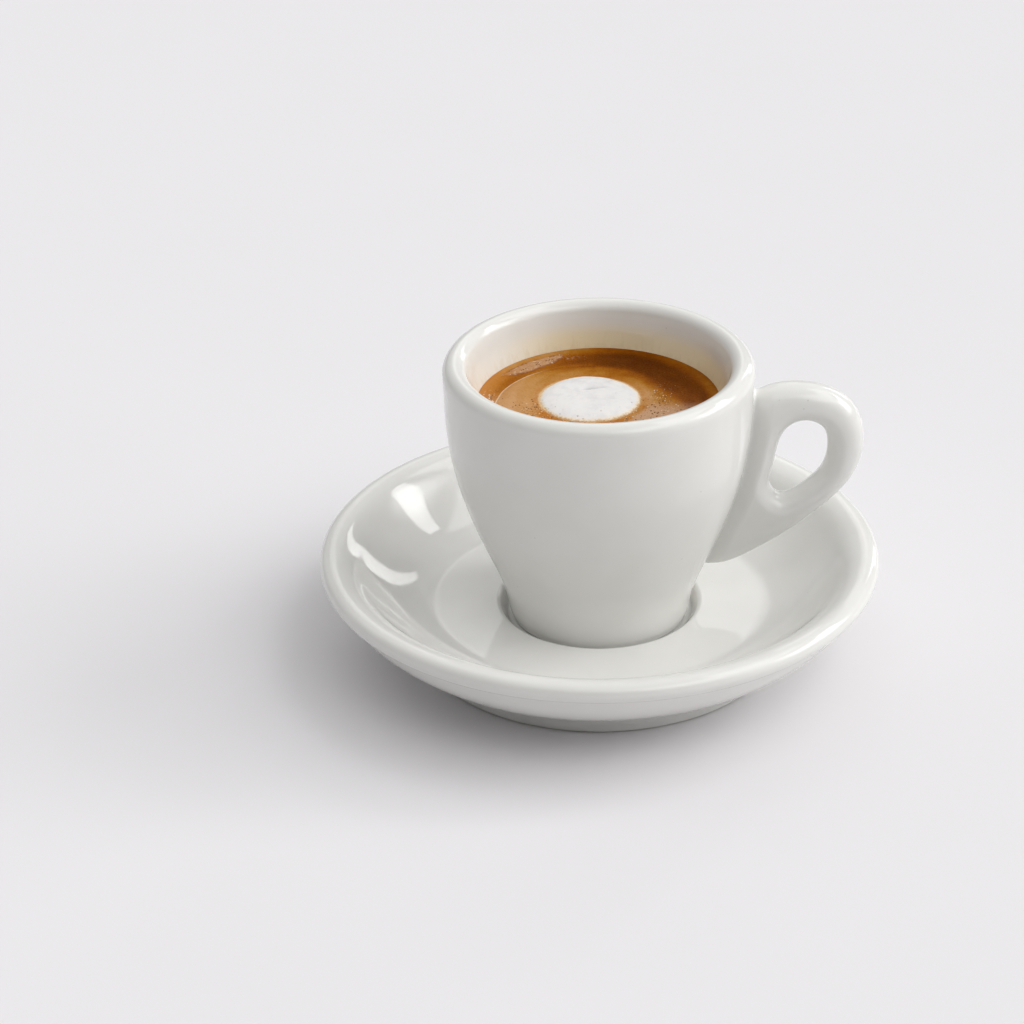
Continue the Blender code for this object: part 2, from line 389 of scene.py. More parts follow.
def piece_from(name: str, shell: Shell, material: bpy.types.Material,
               slot: Slot, *stands_for: str) -> bpy.types.Object:
    """Put a shell into a mesh object that rides on the part's body.

    Args:
        name: the piece's name.
        shell: its surface.
        material: its finish.
        slot: the record's slot that the finish belongs to; not used.
        stands_for: CAD nodes that the piece replaces.

    Returns:
        The new object, at the origin, with its place in its mesh.
    """
    shell = shell.facing_out()
    mesh = bpy.data.meshes.new(name)
    corners = np.concatenate([shell.quads.ravel(), shell.triangles.ravel()]).astype(np.int32)
    sizes = np.concatenate([np.full(len(shell.quads), 4), np.full(len(shell.triangles), 3)])
    starts = np.concatenate([[0], np.cumsum(sizes)[:-1]])
    mesh.vertices.add(len(shell.points))
    mesh.vertices.foreach_set("co", shell.points.astype(np.float32).ravel())
    mesh.loops.add(len(corners))
    mesh.loops.foreach_set("vertex_index", corners)
    mesh.polygons.add(len(sizes))
    mesh.polygons.foreach_set("loop_start", starts.astype(np.int32))
    mesh.polygons.foreach_set("loop_total", sizes.astype(np.int32))
    mesh.polygons.foreach_set("use_smooth", np.ones(len(sizes), bool))
    mesh.update(calc_edges=True)
    mesh.validate()
    for label, values in shell.values.items():
        layer = mesh.attributes.new(label, "FLOAT", "POINT")
        layer.data.foreach_set("value", values.astype(np.float32))
    mesh.materials.append(material)
    piece = bpy.data.objects.new(name, mesh)
    bpy.context.scene.collection.objects.link(piece)
    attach(piece, "root")
    if stands_for:
        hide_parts(*stands_for)
    log.info("%s: %d faces, %.2f cm3", name, len(sizes), shell.volume() * 1e6)
    return piece


# ------------------------------------------------------------------ finishes

class Bench:
    """Nodes, put down one by one and wired as they come."""

    def __init__(self, tree: bpy.types.NodeTree, coordinates: str) -> None:
        """Start with the coordinates that the nodes work on.

        Args:
            tree: the node tree to fill.
            coordinates: which coordinates the nodes read.
        """
        self.tree = tree
        self.place = self.node("ShaderNodeTexCoord").outputs[coordinates]

    def node(self, kind: str, **settings: object) -> bpy.types.Node:
        """A new node of a kind, with its own settings.

        Args:
            kind: the node's type.
            settings: values of its own properties, by name.

        Returns:
            The node.
        """
        made = self.tree.nodes.new(kind)
        for name, value in settings.items():
            setattr(made, name, value)
        return made

    def wire(self, source: object, target: bpy.types.NodeSocket) -> None:
        """Feed a socket from another one, or set it to a plain value.

        Args:
            source: a socket, a number, a colour or a direction.
            target: the input to feed.
        """
        if isinstance(source, bpy.types.NodeSocket):
            self.tree.links.new(source, target)
        elif isinstance(source, tuple) and len(target.default_value) == 4:
            target.default_value = (*source[:3], 1.0)
        else:
            target.default_value = source

    def math(self, operation: str, a: object, b: object = 0.0,
             c: object = 0.0) -> bpy.types.NodeSocket:
        """The result of a sum on up to three numbers.

        Args:
            operation: which sum.
            a: first number or socket.
            b: second one.
            c: third one.

        Returns:
            The value socket.
        """
        node = self.node("ShaderNodeMath", operation=operation)
        for source, target in zip((a, b, c), node.inputs):
            self.wire(source, target)
        return node.outputs[0]

    def times(self, a: object, b: object) -> bpy.types.NodeSocket:
        """The product of two numbers."""
        return self.math("MULTIPLY", a, b)

    def plus(self, a: object, b: object) -> bpy.types.NodeSocket:
        """The sum of two numbers."""
        return self.math("ADD", a, b)

    def swing(self, value: object, reach: float) -> bpy.types.NodeSocket:
        """A value from 0 to 1 laid evenly over -reach to reach."""
        return self.math("MULTIPLY_ADD", value, 2.0 * reach, -reach)

    def noise(self, size: float, detail: float = 2.0, rough: float = 0.5,
              stretch: tuple[float, float, float] = (1.0, 1.0, 1.0)) -> bpy.types.NodeSocket:
        """Soft random values whose patches measure about `size` metres.

        Args:
            size: size of a patch, in metres.
            detail: number of finer layers.
            rough: weight of the finer layers.
            stretch: how much longer a patch is along each axis.

        Returns:
            The value socket, from 0 to 1.
        """
        mapping = self.node("ShaderNodeMapping")
        self.wire(self.place, mapping.inputs["Vector"])
        mapping.inputs["Scale"].default_value = [1.0 / (size * s) for s in stretch]
        node = self.node("ShaderNodeTexNoise")
        self.wire(mapping.outputs[0], node.inputs["Vector"])
        node.inputs["Scale"].default_value = 1.0
        node.inputs["Detail"].default_value = detail
        node.inputs["Roughness"].default_value = rough
        return node.outputs["Fac"]

    def spots(self, size: float, flat: bool = False) -> bpy.types.NodeSocket:
        """Distance from the middle of the nearest cell, in cells of `size` metres.

        Args:
            size: size of a cell, in metres.
            flat: whether the cells go by the level alone, whatever the height.

        Returns:
            The value socket.
        """
        mapping = self.node("ShaderNodeMapping")
        self.wire(self.place, mapping.inputs["Vector"])
        mapping.inputs["Scale"].default_value = [1.0 / size, 1.0 / size,
                                                 0.0 if flat else 1.0 / size]
        node = self.node("ShaderNodeTexVoronoi")
        self.wire(mapping.outputs[0], node.inputs["Vector"])
        node.inputs["Scale"].default_value = 1.0
        return node.outputs["Distance"]

    def spread(self, value: object, low: float, high: float,
               to_low: float = 0.0, to_high: float = 1.0) -> bpy.types.NodeSocket:
        """A value's part from `low` to `high`, laid softly over another range.

        Args:
            value: number or socket.
            low: where the part begins.
            high: where it ends.
            to_low: result up to `low`.
            to_high: result from `high` on.

        Returns:
            The value socket.
        """
        node = self.node("ShaderNodeMapRange", interpolation_type="SMOOTHSTEP")
        for source, name in ((value, "Value"), (low, "From Min"), (high, "From Max"),
                             (to_low, "To Min"), (to_high, "To Max")):
            self.wire(source, node.inputs[name])
        return node.outputs["Result"]

    def blend(self, share: object, first: object, second: object) -> bpy.types.NodeSocket:
        """A colour between two, by a share from 0 to 1.

        Args:
            share: number or socket.
            first: colour at 0.
            second: colour at 1.

        Returns:
            The colour socket.
        """
        node = self.node("ShaderNodeMix", data_type="RGBA", clamp_factor=True)
        self.wire(share, node.inputs["Factor"])
        for source, target in zip((first, second), [s for s in node.inputs if s.type == "RGBA"]):
            self.wire(source, target)
        return [s for s in node.outputs if s.type == "RGBA"][0]

    def ramp(self, share: object, *stops: tuple[float, Colour]) -> bpy.types.NodeSocket:
        """A colour from a row of stops.

        Args:
            share: number or socket from 0 to 1.
            stops: each a place and its colour, in order.

        Returns:
            The colour socket.
        """
        node = self.node("ShaderNodeValToRGB")
        row = node.color_ramp.elements
        while len(row) < len(stops):
            row.new(0.5)
        for stop, (place, colour) in zip(row, stops):
            stop.position = place
            stop.color = (*colour, 1.0)
        self.wire(share, node.inputs["Fac"])
        return node.outputs["Color"]

    def axes(self) -> tuple[bpy.types.NodeSocket, ...]:
        """The three coordinates of the object's own place, in metres.

        Returns:
            Their sockets.
        """
        node = self.node("ShaderNodeSeparateXYZ")
        self.wire(self.place, node.inputs[0])
        return tuple(node.outputs)

    def along(self, way: Vector) -> bpy.types.NodeSocket:
        """How far the coordinates reach along a direction.

        Args:
            way: the direction, of length 1.

        Returns:
            The value socket.
        """
        node = self.node("ShaderNodeVectorMath", operation="DOT_PRODUCT")
        self.wire(self.place, node.inputs[0])
        node.inputs[1].default_value = way
        return node.outputs["Value"]

    def value_of(self, label: str) -> bpy.types.NodeSocket:
        """The piece's own value of that name."""
        return self.node("ShaderNodeAttribute", attribute_name=label).outputs["Fac"]

    def relief(self, height: object, depth: float,
               under: bpy.types.NodeSocket | None = None) -> bpy.types.NodeSocket:
        """A bump of that depth in metres, on top of another one.

        Args:
            height: number or socket from 0 to 1.
            depth: what 1 stands for, in metres.
            under: the bump below, or none.

        Returns:
            The normal socket.
        """
        node = self.node("ShaderNodeBump")
        node.inputs["Strength"].default_value = 1.0
        node.inputs["Distance"].default_value = depth
        self.wire(height, node.inputs["Height"])
        if under is not None:
            self.wire(under, node.inputs["Normal"])
        return node.outputs["Normal"]


class Dressing(Bench):
    """A finish's nodes: a material with its shader, on the object's own coordinates."""

    def __init__(self, name: str) -> None:
        """Start a material of that name.

        Args:
            name: the material's name.
        """
        self.material = bpy.data.materials.new(name)
        self.material.use_nodes = True
        super().__init__(self.material.node_tree, "Object")
        self.shader = self.tree.nodes["Principled BSDF"]

    def finish(self, **sockets: object) -> bpy.types.Material:
        """Wire or set the shader's own sockets, by name with _ for each space.

        Args:
            sockets: what each named socket takes.

        Returns:
            The material.
        """
        for name, source in sockets.items():
            self.wire(source, self.shader.inputs[name.replace("_", " ")])
        return self.material


@dataclass(frozen=True)
class Glaze:
    """White glaze over a fired body: glassy, faintly uneven, with a few specks.

    A cup's glaze is tinted inside, from `drink_level` up: by painted warm bounce light on
    the side that faces the given way (the back and right), by runs, and by a haze.
    """

    name: str
    light: Colour = (0.801, 0.796, 0.769)
    deep: Colour = (0.786, 0.781, 0.751)
    speck: Colour = (0.42, 0.36, 0.28)
    bare: Colour = (0.62, 0.58, 0.51)
    cloud_size: float = 9.0 * MM
    speck_spacing: float = 3.1 * MM
    speck_size: Span = (0.035, 0.07)
    speck_patch: float = 7.0 * MM
    speck_share: float = 0.35
    gloss_patch: float = 2.4 * MM
    gloss: Span = (0.045, 0.085)
    bare_roughness: float = 0.7
    dimples: tuple[Span, ...] = ((1.5 * MM, 0.004 * MM), (0.35 * MM, 0.0012 * MM))
    foot_height: float = 0.25 * MM
    stain: Stain = Stain.CLEAN
    drink_level: float = 57.6 * MM
    inner_radius: float = 27.6 * MM
    stain_colour: Colour = (0.62, 0.50, 0.32)
    # Painted warm bounce light: a lighter, warmer tint on the inner wall's back and right side.
    bounce_light_colour: Colour = (0.83, 0.70, 0.45)
    bounce_light_way: tuple[float, float, float] = (0.64, 0.77, 0.0)
    bounce_light_edge: Span = (-0.10, 0.72)
    bounce_light_share: Span = (0.14, 1.0)
    bounce_light_height: Span = (1.0 * MM, 8.0 * MM)
    bounce_light_fade: Span = (0.95, 0.45)
    run_width: float = 1.3 * MM
    run_reach: Span = (0.5 * MM, 6.0 * MM)
    run_stretch: float = 9.0
    run_share: float = 0.32
    haze_height: float = 5.0 * MM
    haze_share: float = 0.08

    def material(self) -> bpy.types.Material:
        """The finish as a material.

        Returns:
            The new material.
        """
        bench = Dressing(self.name)
        x, y, z = bench.axes()
        cloud = bench.noise(self.cloud_size, 3.0)
        colour = bench.blend(bench.spread(cloud, 0.35, 0.7), self.light, self.deep)
        dots = bench.spread(bench.spots(self.speck_spacing), *self.speck_size, 1.0, 0.0)
        dots = bench.times(dots, bench.spread(bench.noise(self.speck_patch, 1.0), 0.56, 0.62))
        colour = bench.blend(bench.times(dots, self.speck_share), colour, self.speck)
        if self.stain is Stain.DRINK_LINE_AND_BOUNCE_LIGHT:
            colour = self.stain_and_bounce_light(bench, colour, x, y, z)
        foot = bench.spread(z, self.foot_height * 0.6, self.foot_height, 1.0, 0.0)
        colour = bench.blend(foot, colour, self.bare)
        gloss = bench.spread(bench.noise(self.gloss_patch, 3.0), 0.3, 0.75, *self.gloss)
        rough = bench.math("MAXIMUM", gloss, bench.times(foot, self.bare_roughness))
        bump = None
        for size, depth in self.dimples:
            bump = bench.relief(bench.noise(size, 1.0), depth, under=bump)
        return bench.finish(Base_Color=colour, Roughness=rough, IOR=1.52, Normal=bump)

    def stain_and_bounce_light(self, bench: Bench, colour: bpy.types.NodeSocket, x: bpy.types.NodeSocket,
                y: bpy.types.NodeSocket, z: bpy.types.NodeSocket) -> bpy.types.NodeSocket:
        """The glaze tinted inside, above the drink: runs and a haze of drink, and painted warm
        bounce light on one side.

        Args:
            bench: the material's nodes.
            colour: the clean glaze.
            x: the first coordinate.
            y: the second coordinate.
            z: the height.

        Returns:
            The tinted colour.
        """
        radius = bench.math("SQRT", bench.plus(bench.times(x, x), bench.times(y, y)))
        inside = bench.spread(radius, self.inner_radius - 1.0 * MM, self.inner_radius, 1.0, 0.0)
        inside = bench.times(inside, bench.spread(
            z, self.drink_level - 2.0 * MM, self.drink_level - 1.0 * MM))
        runs = bench.noise(self.run_width, 3.0, 0.6, stretch=(1.0, 1.0, self.run_stretch))
        reach = bench.spread(runs, 0.35, 0.8, *self.run_reach)
        above = bench.math("SUBTRACT", z, self.drink_level)
        wet = bench.spread(bench.math("SUBTRACT", 1.0, bench.math("DIVIDE", above, reach)),
                           0.0, 1.0)
        haze = bench.spread(above, 0.0, self.haze_height, self.haze_share, 0.0)
        tint = bench.math("MAXIMUM", bench.times(wet, self.run_share), haze)
        # Painted warm bounce light, lighter and warmer than the glaze, on the side facing the
        # given way.
        facing = bench.math("DIVIDE", bench.along(Vector(self.bounce_light_way)), radius)
        bounce_light = bench.times(bench.spread(facing, *self.bounce_light_edge, *self.bounce_light_share),
                           bench.spread(above, *self.bounce_light_height, *self.bounce_light_fade))
        colour = bench.blend(bench.times(inside, bounce_light), colour, self.bounce_light_colour)
        return bench.blend(bench.times(inside, tint), colour, self.stain_colour)


@dataclass(frozen=True)
class Crema:
    """The drink's skin: tan where it is thick, golden to dark brown where it thins, with painted
    glints.
    """

    name: str = "crema"
    tones: tuple[tuple[float, Colour], ...] = (
        (0.0, (0.080, 0.0155, 0.0002)), (0.20, (0.118, 0.029, 0.0006)),
        (0.35, (0.172, 0.043, 0.0010)), (0.50, (0.250, 0.068, 0.0018)),
        (0.62, (0.320, 0.102, 0.0040)), (0.75, (0.385, 0.155, 0.0170)),
        (0.88, (0.455, 0.222, 0.0600)), (1.0, (0.510, 0.272, 0.1080)))
    rose: Colour = (0.510, 0.315, 0.200)
    orange: Colour = (0.440, 0.160, 0.022)
    milk: Colour = (0.740, 0.560, 0.340)
    hole: Colour = (0.140, 0.045, 0.010)
    # Pale colour of the painted glints and highlights.
    skin: Colour = (0.880, 0.760, 0.600)
    fine_size: float = 0.42 * MM
    fine_swing: float = 0.25
    flow_size: float = 2.4 * MM
    flow_swing: float = 0.13
    hole_spacing: float = 0.46 * MM
    hole_size: Span = (0.10, 0.24)
    hole_patch: float = 1.1 * MM
    # The painted glints: pale dots where the crema is bubbly, standing in for light caught by
    # bubbles.
    glint_spacing: float = 0.74 * MM
    glint_size: Span = (0.08, 0.17)
    glint_patch: float = 0.9 * MM
    ripple: Span = (0.9 * MM, 0.012 * MM)
    hole_depth: float = 0.010 * MM
    gloss: Span = (0.22, 0.36)

    def material(self) -> bpy.types.Material:
        """The finish as a material.

        Returns:
            The new material.
        """
        bench = Dressing(self.name)
        bubbly = bench.value_of("bubbly")
        fine = bench.noise(self.fine_size, 3.0, 0.6)
        flow = bench.noise(self.flow_size, 4.0, 0.6)
        share = bench.plus(bench.value_of("thick"), bench.swing(flow, self.flow_swing))
        grain = bench.times(bench.swing(fine, self.fine_swing),
                            bench.math("MULTIPLY_ADD", bubbly, 0.75, 0.12))
        colour = bench.ramp(bench.plus(share, grain), *self.tones)
        colour = bench.blend(bench.value_of("rose"), colour, self.rose)
        colour = bench.blend(bench.value_of("orange"), colour, self.orange)
        edge = bench.plus(bench.value_of("halo"), bench.swing(fine, 0.3))
        colour = bench.blend(bench.spread(edge, 0.3, 0.95, 0.0, 0.85), colour, self.milk)
        cells = bench.spots(self.hole_spacing, flat=True)
        patches = bench.spread(bench.noise(self.hole_patch, 2.0), 0.44, 0.60)
        holes = bench.times(bench.spread(cells, *self.hole_size, 1.0, 0.0), patches)
        holes = bench.times(holes, bubbly)
        colour = bench.blend(bench.times(holes, 0.6), colour, self.hole)
        # Painted glints: pale dots in the bubbly places, and the painted highlights of the line
        # value.
        painted_glints = bench.spread(bench.spots(self.glint_spacing, flat=True),
                              *self.glint_size, 1.0, 0.0)
        painted_glints = bench.times(bench.times(painted_glints, bubbly),
                             bench.spread(bench.noise(self.glint_patch, 1.0), 0.50, 0.58))
        painted_glints = bench.math("MAXIMUM", bench.times(painted_glints, 0.75), bench.value_of("line"))
        colour = bench.blend(painted_glints, colour, self.skin)
        bump = bench.relief(bench.noise(self.ripple[0], 3.0), self.ripple[1])
        bump = bench.relief(cells, self.hole_depth, under=bump)
        return bench.finish(Base_Color=colour, Roughness=bench.spread(fine, 0.3, 0.7, *self.gloss),
                            IOR=1.36, Normal=bump, Specular_IOR_Level=0.03)


@dataclass(frozen=True)
class MilkFoamFinish:
    """Fine milk foam: matt white, tan where it thins into the crema, with painted shade in a wider
    cream band at the back, and with small pits.
    """

    name: str = "milk_foam"
    white: Colour = (0.800, 0.786, 0.770)
    grey: Colour = (0.690, 0.675, 0.690)
    cream: Colour = (0.820, 0.700, 0.520)
    tan: Colour = (0.560, 0.300, 0.110)
    pit: Colour = (0.420, 0.290, 0.200)
    shade: Colour = (0.430, 0.420, 0.435)
    cloud_size: float = 2.6 * MM
    fine_size: float = 0.5 * MM
    grain: Span = (0.28 * MM, 0.02 * MM)
    pores: Span = (0.22 * MM, 0.008 * MM)
    roughness: Span = (0.42, 0.6)

    def material(self) -> bpy.types.Material:
        """The finish as a material.

        Returns:
            The new material.
        """
        bench = Dressing(self.name)
        edge = bench.value_of("edge")
        pit = bench.value_of("pit")
        cloud = bench.noise(self.cloud_size, 4.0, 0.6)
        fine = bench.noise(self.fine_size, 4.0, 0.65)
        colour = bench.blend(bench.spread(cloud, 0.4, 0.75, 0.0, 0.8), self.white, self.grey)
        # Near the rim the edge value brings cream and tan; at the back it also paints shade.
        share = bench.plus(edge, bench.swing(fine, 0.08))
        colour = bench.blend(bench.spread(share, 0.90, 0.99), colour, self.cream)
        colour = bench.blend(bench.spread(share, 0.95, 1.02), colour, self.tan)
        colour = bench.blend(bench.times(bench.value_of("crease"), 0.75), colour, self.shade)
        colour = bench.blend(pit, colour, self.pit)
        bump = bench.relief(bench.noise(self.grain[0], 3.0, 0.6), self.grain[1])
        bump = bench.relief(bench.spots(self.pores[0], flat=True), self.pores[1], under=bump)
        return bench.finish(Base_Color=colour,
                            Roughness=bench.spread(fine, 0.3, 0.7, *self.roughness),
                            IOR=1.36, Normal=bump, Subsurface_Weight=0.25,
                            Subsurface_Radius=(1.0, 0.8, 0.6), Subsurface_Scale=0.4 * MM)


@dataclass(frozen=True)
class BubbleFinish:
    """Thin bubble skin: dark and glassy in the middle, pale where it meets the crema."""

    name: str
    middle: Colour = (0.17, 0.060, 0.014)
    rim: Colour = (0.50, 0.27, 0.11)
    pale: Colour = (0.80, 0.60, 0.40)
    cloud_size: float = 0.8 * MM
    gloss: Span = (0.06, 0.16)

    def material(self) -> bpy.types.Material:
        """The finish as a material.

        Returns:
            The new material.
        """
        bench = Dressing(self.name)
        low = bench.value_of("low")
        cloud = bench.noise(self.cloud_size, 2.0)
        share = bench.plus(low, bench.swing(cloud, 0.15))
        colour = bench.blend(bench.spread(share, 0.25, 0.85), self.middle, self.rim)
        colour = bench.blend(bench.value_of("pale"), colour, self.pale)
        return bench.finish(Base_Color=colour, IOR=1.34,
                            Roughness=bench.spread(cloud, 0.3, 0.7, *self.gloss))


@dataclass(frozen=True)
class TableTop:
    """Pale matt board under the saucer."""

    name: str = "pale_board"
    light: Colour = (0.812, 0.798, 0.814)
    deep: Colour = (0.796, 0.784, 0.797)
    cloud_size: float = 60.0 * MM
    grain: Span = (0.8 * MM, 0.01 * MM)

    def material(self) -> bpy.types.Material:
        """The finish as a material.

        Returns:
            The new material.
        """
        bench = Dressing(self.name)
        colour = bench.blend(bench.noise(self.cloud_size, 3.0), self.light, self.deep)
        bump = bench.relief(bench.noise(self.grain[0], 3.0), self.grain[1])
        return bench.finish(Base_Color=colour, Roughness=0.75, Normal=bump,
                            Specular_IOR_Level=0.2)


# ------------------------------------------------------------------ saucer

@dataclass
class Saucer:
    """Deep saucer: a well for the cup, a level ring, a dished slope and a rounded rim.

    Sizes are in millimetres, and a station is (radius, height above the table). Only the
    unevenness is in metres.
    """

    steps: int = 288
    well_radius: float = 20.1
    well_lip: float = 22.4
    well_floor: float = 7.8
    well_round: float = 1.5
    well_inner_round: float = 0.8
    ring_height: float = 10.5
    ring_radius: float = 34.5
    dish: tuple[Station, ...] = ((38.5, 11.2), (43.0, 13.1), (47.5, 16.2), (50.8, 19.2),
                                 (53.4, 21.7), (55.9, 22.9))
    rim_radius: float = 59.98
    rim_height: float = 21.0
    rim_round: float = 2.1
    crease: float = 0.3
    belly: tuple[Station, ...] = ((57.4, 17.2), (55.2, 14.4), (52.5, 11.7), (49.0, 9.0),
                                  (45.0, 6.7), (41.6, 4.9), (39.7, 3.2))
    foot_outer: float = 38.9
    foot_inner: float = 35.5
    foot_round: float = 0.6
    foot_slack: float = 0.5
    foot_side: tuple[Station, Station] = ((35.3, 1.4), (34.8, 3.0))
    corner_radius: float = 33.6
    corner_round: float = 1.1
    underside: float = 4.0
    underside_radius: float = 32.9
    unevenness: Waver = Waver(11, 0.035 * MM, 14, 22.0 * MM)

    def profile(self) -> Array:
        """Section from the well's middle, over the rim and back under to the axis.

        Returns:
            Array of (radius, height) in metres.
        """
        lip = (self.well_lip, self.ring_height - self.well_round)
        low = (self.well_radius - self.well_inner_round, self.well_floor + self.well_inner_round)
        rim_centre = (self.rim_radius - self.rim_round, self.rim_height)
        rim = arc(rim_centre, self.rim_round, 80.0, -50.0, 26)
        under = (rim[-1, 0] - self.crease, rim[-1, 1] - self.crease * 0.5)
        corner = (self.corner_radius, self.underside - self.corner_round)
        stretches = [
            line((0.0, self.well_floor), (low[0], self.well_floor), 14),
            arc(low, self.well_inner_round, -80.0, -30.0, 6),
            arc(lip, self.well_round, 150.0, 90.0, 12),
            line((lip[0] + 0.6, self.ring_height), (self.ring_radius - 1.0, self.ring_height), 14),
            spline_through([(self.ring_radius, self.ring_height), *self.dish, tuple(rim[0])],
                           9, start=(1.0, 0.0), end=(0.985, -0.17)),
            rim[1:],
            spline_through([under, *self.belly, (self.foot_outer, self.foot_round)], 7),
            *foot_ring(self.foot_outer, self.foot_inner, 0.0, self.foot_round,
                       self.foot_slack, 5),
            line(*self.foot_side, 3),
            arc(corner, self.corner_round, 15.0, 90.0, 5),
            line((self.underside_radius, self.underside), (0.0, self.underside), 18),
        ]
        return without_doubles(np.vstack(stretches)) * MM

    def build(self) -> bpy.types.Object:
        """Make the saucer and dress it.

        The glaze's unevenness moves each point along the section's own normal by a
        smooth sum of waves, inwards only, and fades out on the foot.

        Returns:
            The finished piece.
        """
        grid = turned(self.profile(), self.steps)
        grid = settle(grid, self.unevenness)
        return piece_from("saucer_body", shell_of_turning(grid),
                          Glaze("saucer_glaze_white").material(), Slot.SAUCER, "saucer")


def settle(grid: Array, unevenness: Waver) -> Array:
    """Sink a turned surface along its normals, in smooth waves as deep as the waver reaches.

    Args:
        grid: turned points, the first and last rows on the axis, in metres.
        unevenness: the waves, in metres.

    Returns:
        The moved points. Rows on the axis and rows that touch the table stay.
    """
    normal = grid_normals(grid, closed_rows=False)
    sink = 0.5 * (unevenness.reach - unevenness.at(grid))
    sink *= smooth_share(grid[..., 2], 0.6 * MM, 2.5 * MM)
    sink[[0, -1]] = 0.0
    return grid - normal * sink[..., None]


# ------------------------------------------------------------------ cup

@dataclass
class Cup:
    """Thick-walled cup with a cast loop handle.

    Sizes are in millimetres, but for the unevenness, which is in metres. A station is
    (radius, height above the table), and in the handle's plane (distance from the axis,
    height).
    """

    steps: int = 288
    lip_radius: float = 30.25
    lip_height: float = 65.1
    lip_round: float = 2.55
    lip_lean: float = 16.0
    base: float = 8.1
    foot_radius: float = 19.0
    foot_inner: float = 15.0
    foot_round: float = 0.5
    foot_slack: float = 0.6
    foot_hollow: float = 1.2
    floor: float = 15.2
    outside: tuple[Station, ...] = ((32.7, 62.0), (32.5, 56.0), (31.7, 48.0), (30.0, 40.0),
                                    (27.4, 32.0), (24.1, 24.0), (21.2, 17.0), (19.8, 12.0),
                                    (19.35, 9.5))
    inside: tuple[Station, ...] = ((4.8, 16.0), (9.6, 19.0), (14.6, 25.8), (18.6, 35.0),
                                   (21.6, 44.0), (23.9, 52.0), (25.6, 58.0), (26.9, 62.0))
    unevenness: Waver = Waver(23, 0.03 * MM, 14, 24.0 * MM)
    handle_width: float = 9.2
    handle_round: float = 4.8
    handle_fullness: float = 2.2
    hole_round: float = 3.8
    tuck: float = 0.44
    tuck_reach: float = 3.9
    tip_height: float = 20.0
    tip_share: float = 0.60
    full_height: float = 42.0
    fillet: float = 1.0
    root_depth: float = 2.2
    root_round: float = 1.0
    outer_points: int = 190
    root_points: int = 90
    loop_ends: tuple[float, float] = (18.9, 59.3)
    loop: tuple[Station, ...] = ((26.8, 19.2), (33.1, 22.1), (39.9, 26.4), (46.8, 32.1),
                                 (52.5, 38.0), (55.6, 44.6), (56.0, 50.3), (54.0, 55.8),
                                 (49.5, 59.7), (43.2, 61.4), (37.5, 61.1), (33.5, 60.0))
    hole: tuple[Station, ...] = ((38.2, 35.5), (36.4, 37.9), (37.1, 43.4), (38.3, 48.8),
                                 (40.8, 52.4), (44.1, 53.2), (47.2, 51.5), (48.4, 47.2),
                                 (47.2, 41.6), (43.3, 37.5))

    def outer_wall(self) -> Array:
        """Outside from the lip's widest point down to the foot, in millimetres.

        Returns:
            Array of (radius, height).
        """
        return spline_through([(self.lip_radius + self.lip_round, self.lip_height),
                               *self.outside, (self.foot_radius, self.base + self.foot_round)],
                              9, start=(0.0, -1.0))

    def inner_wall(self) -> Array:
        """Inside from the middle of the floor up to the lip, in millimetres.

        Returns:
            Array of (radius, height), the last point where the lip's round takes over.
        """
        lean = math.radians(self.lip_lean)
        lip = (self.lip_radius - self.lip_round * math.cos(lean),
               self.lip_height + self.lip_round * math.sin(lean))
        return spline_through([(0.0, self.floor), *self.inside, lip],
                              8, start=(1.0, 0.0), end=(math.sin(lean), math.cos(lean)))

    def profile(self) -> Array:
        """Section from the floor's middle, over the lip and back under to the axis.

        Returns:
            Array of (radius, height) in metres.
        """
        hollow = self.base + self.foot_hollow
        stretches = [
            self.inner_wall(),
            arc((self.lip_radius, self.lip_height), self.lip_round,
                178.0 - self.lip_lean, 4.0, 30),
            self.outer_wall(),
            *foot_ring(self.foot_radius, self.foot_inner, self.base, self.foot_round,
                       self.foot_slack, 4),
            line((self.foot_inner - 0.7, hollow), (0.0, hollow), 10),
        ]
        return without_doubles(np.vstack(stretches)) * MM

    def wall_radius(self, height: Array) -> Array:
        """The outside's radius at each height, all in millimetres."""
        wall = self.outer_wall()[::-1]
        return np.interp(height, wall[:, 1], wall[:, 0])

    def build_body(self, material: bpy.types.Material) -> bpy.types.Object:
        """Make the turned body.

        Args:
            material: its glaze.

        Returns:
            The finished piece.
        """
        grid = turned(self.profile(), self.steps)
        grid = settle(grid, self.unevenness)
        return piece_from("cup_body", shell_of_turning(grid), material, Slot.CUP, "cup")

    def loop_edge(self, parts: int) -> Array:
        """The loop's outer edge, run on into the wall at both ends, in millimetres."""
        low, high = ((float(self.wall_radius(z)) - self.root_depth, z) for z in self.loop_ends)
        return spline_through([low, *self.loop, high], parts)

    def handle_outline(self) -> tuple[Array, Array, Array]:
        """The loop's outlines in its plane, matched ray by ray from the hole's middle.

        Returns:
            The ring of outer points, the free ones first, then the hole's points facing
            them, and the root line inside the cup's wall.
        """
        free = even_steps(self.loop_edge(16), self.outer_points)
        height = np.linspace(free[-1, 1], free[0, 1], self.root_points + 2)
        root = np.column_stack([self.wall_radius(height) - self.root_depth, height])
        root[0], root[-1] = free[-1], free[0]
        ring = np.vstack([free, root[1:-1]])
        hole = loop_through(self.hole, 24)
        middle = hole.mean(0)
        ray = np.unwrap(np.arctan2(*(ring - middle).T[::-1]))
        around = np.unwrap(np.arctan2(*(hole - middle).T[::-1]))
        if around[-1] < around[0]:
            around, hole = around[::-1], hole[::-1]
        turn = 2.0 * math.pi
        around = np.concatenate([around - turn, around, around + turn])
        facing = np.column_stack([np.interp(ray, around, np.tile(hole[:, k], 3))
                                  for k in range(2)])
        return ring, facing, root

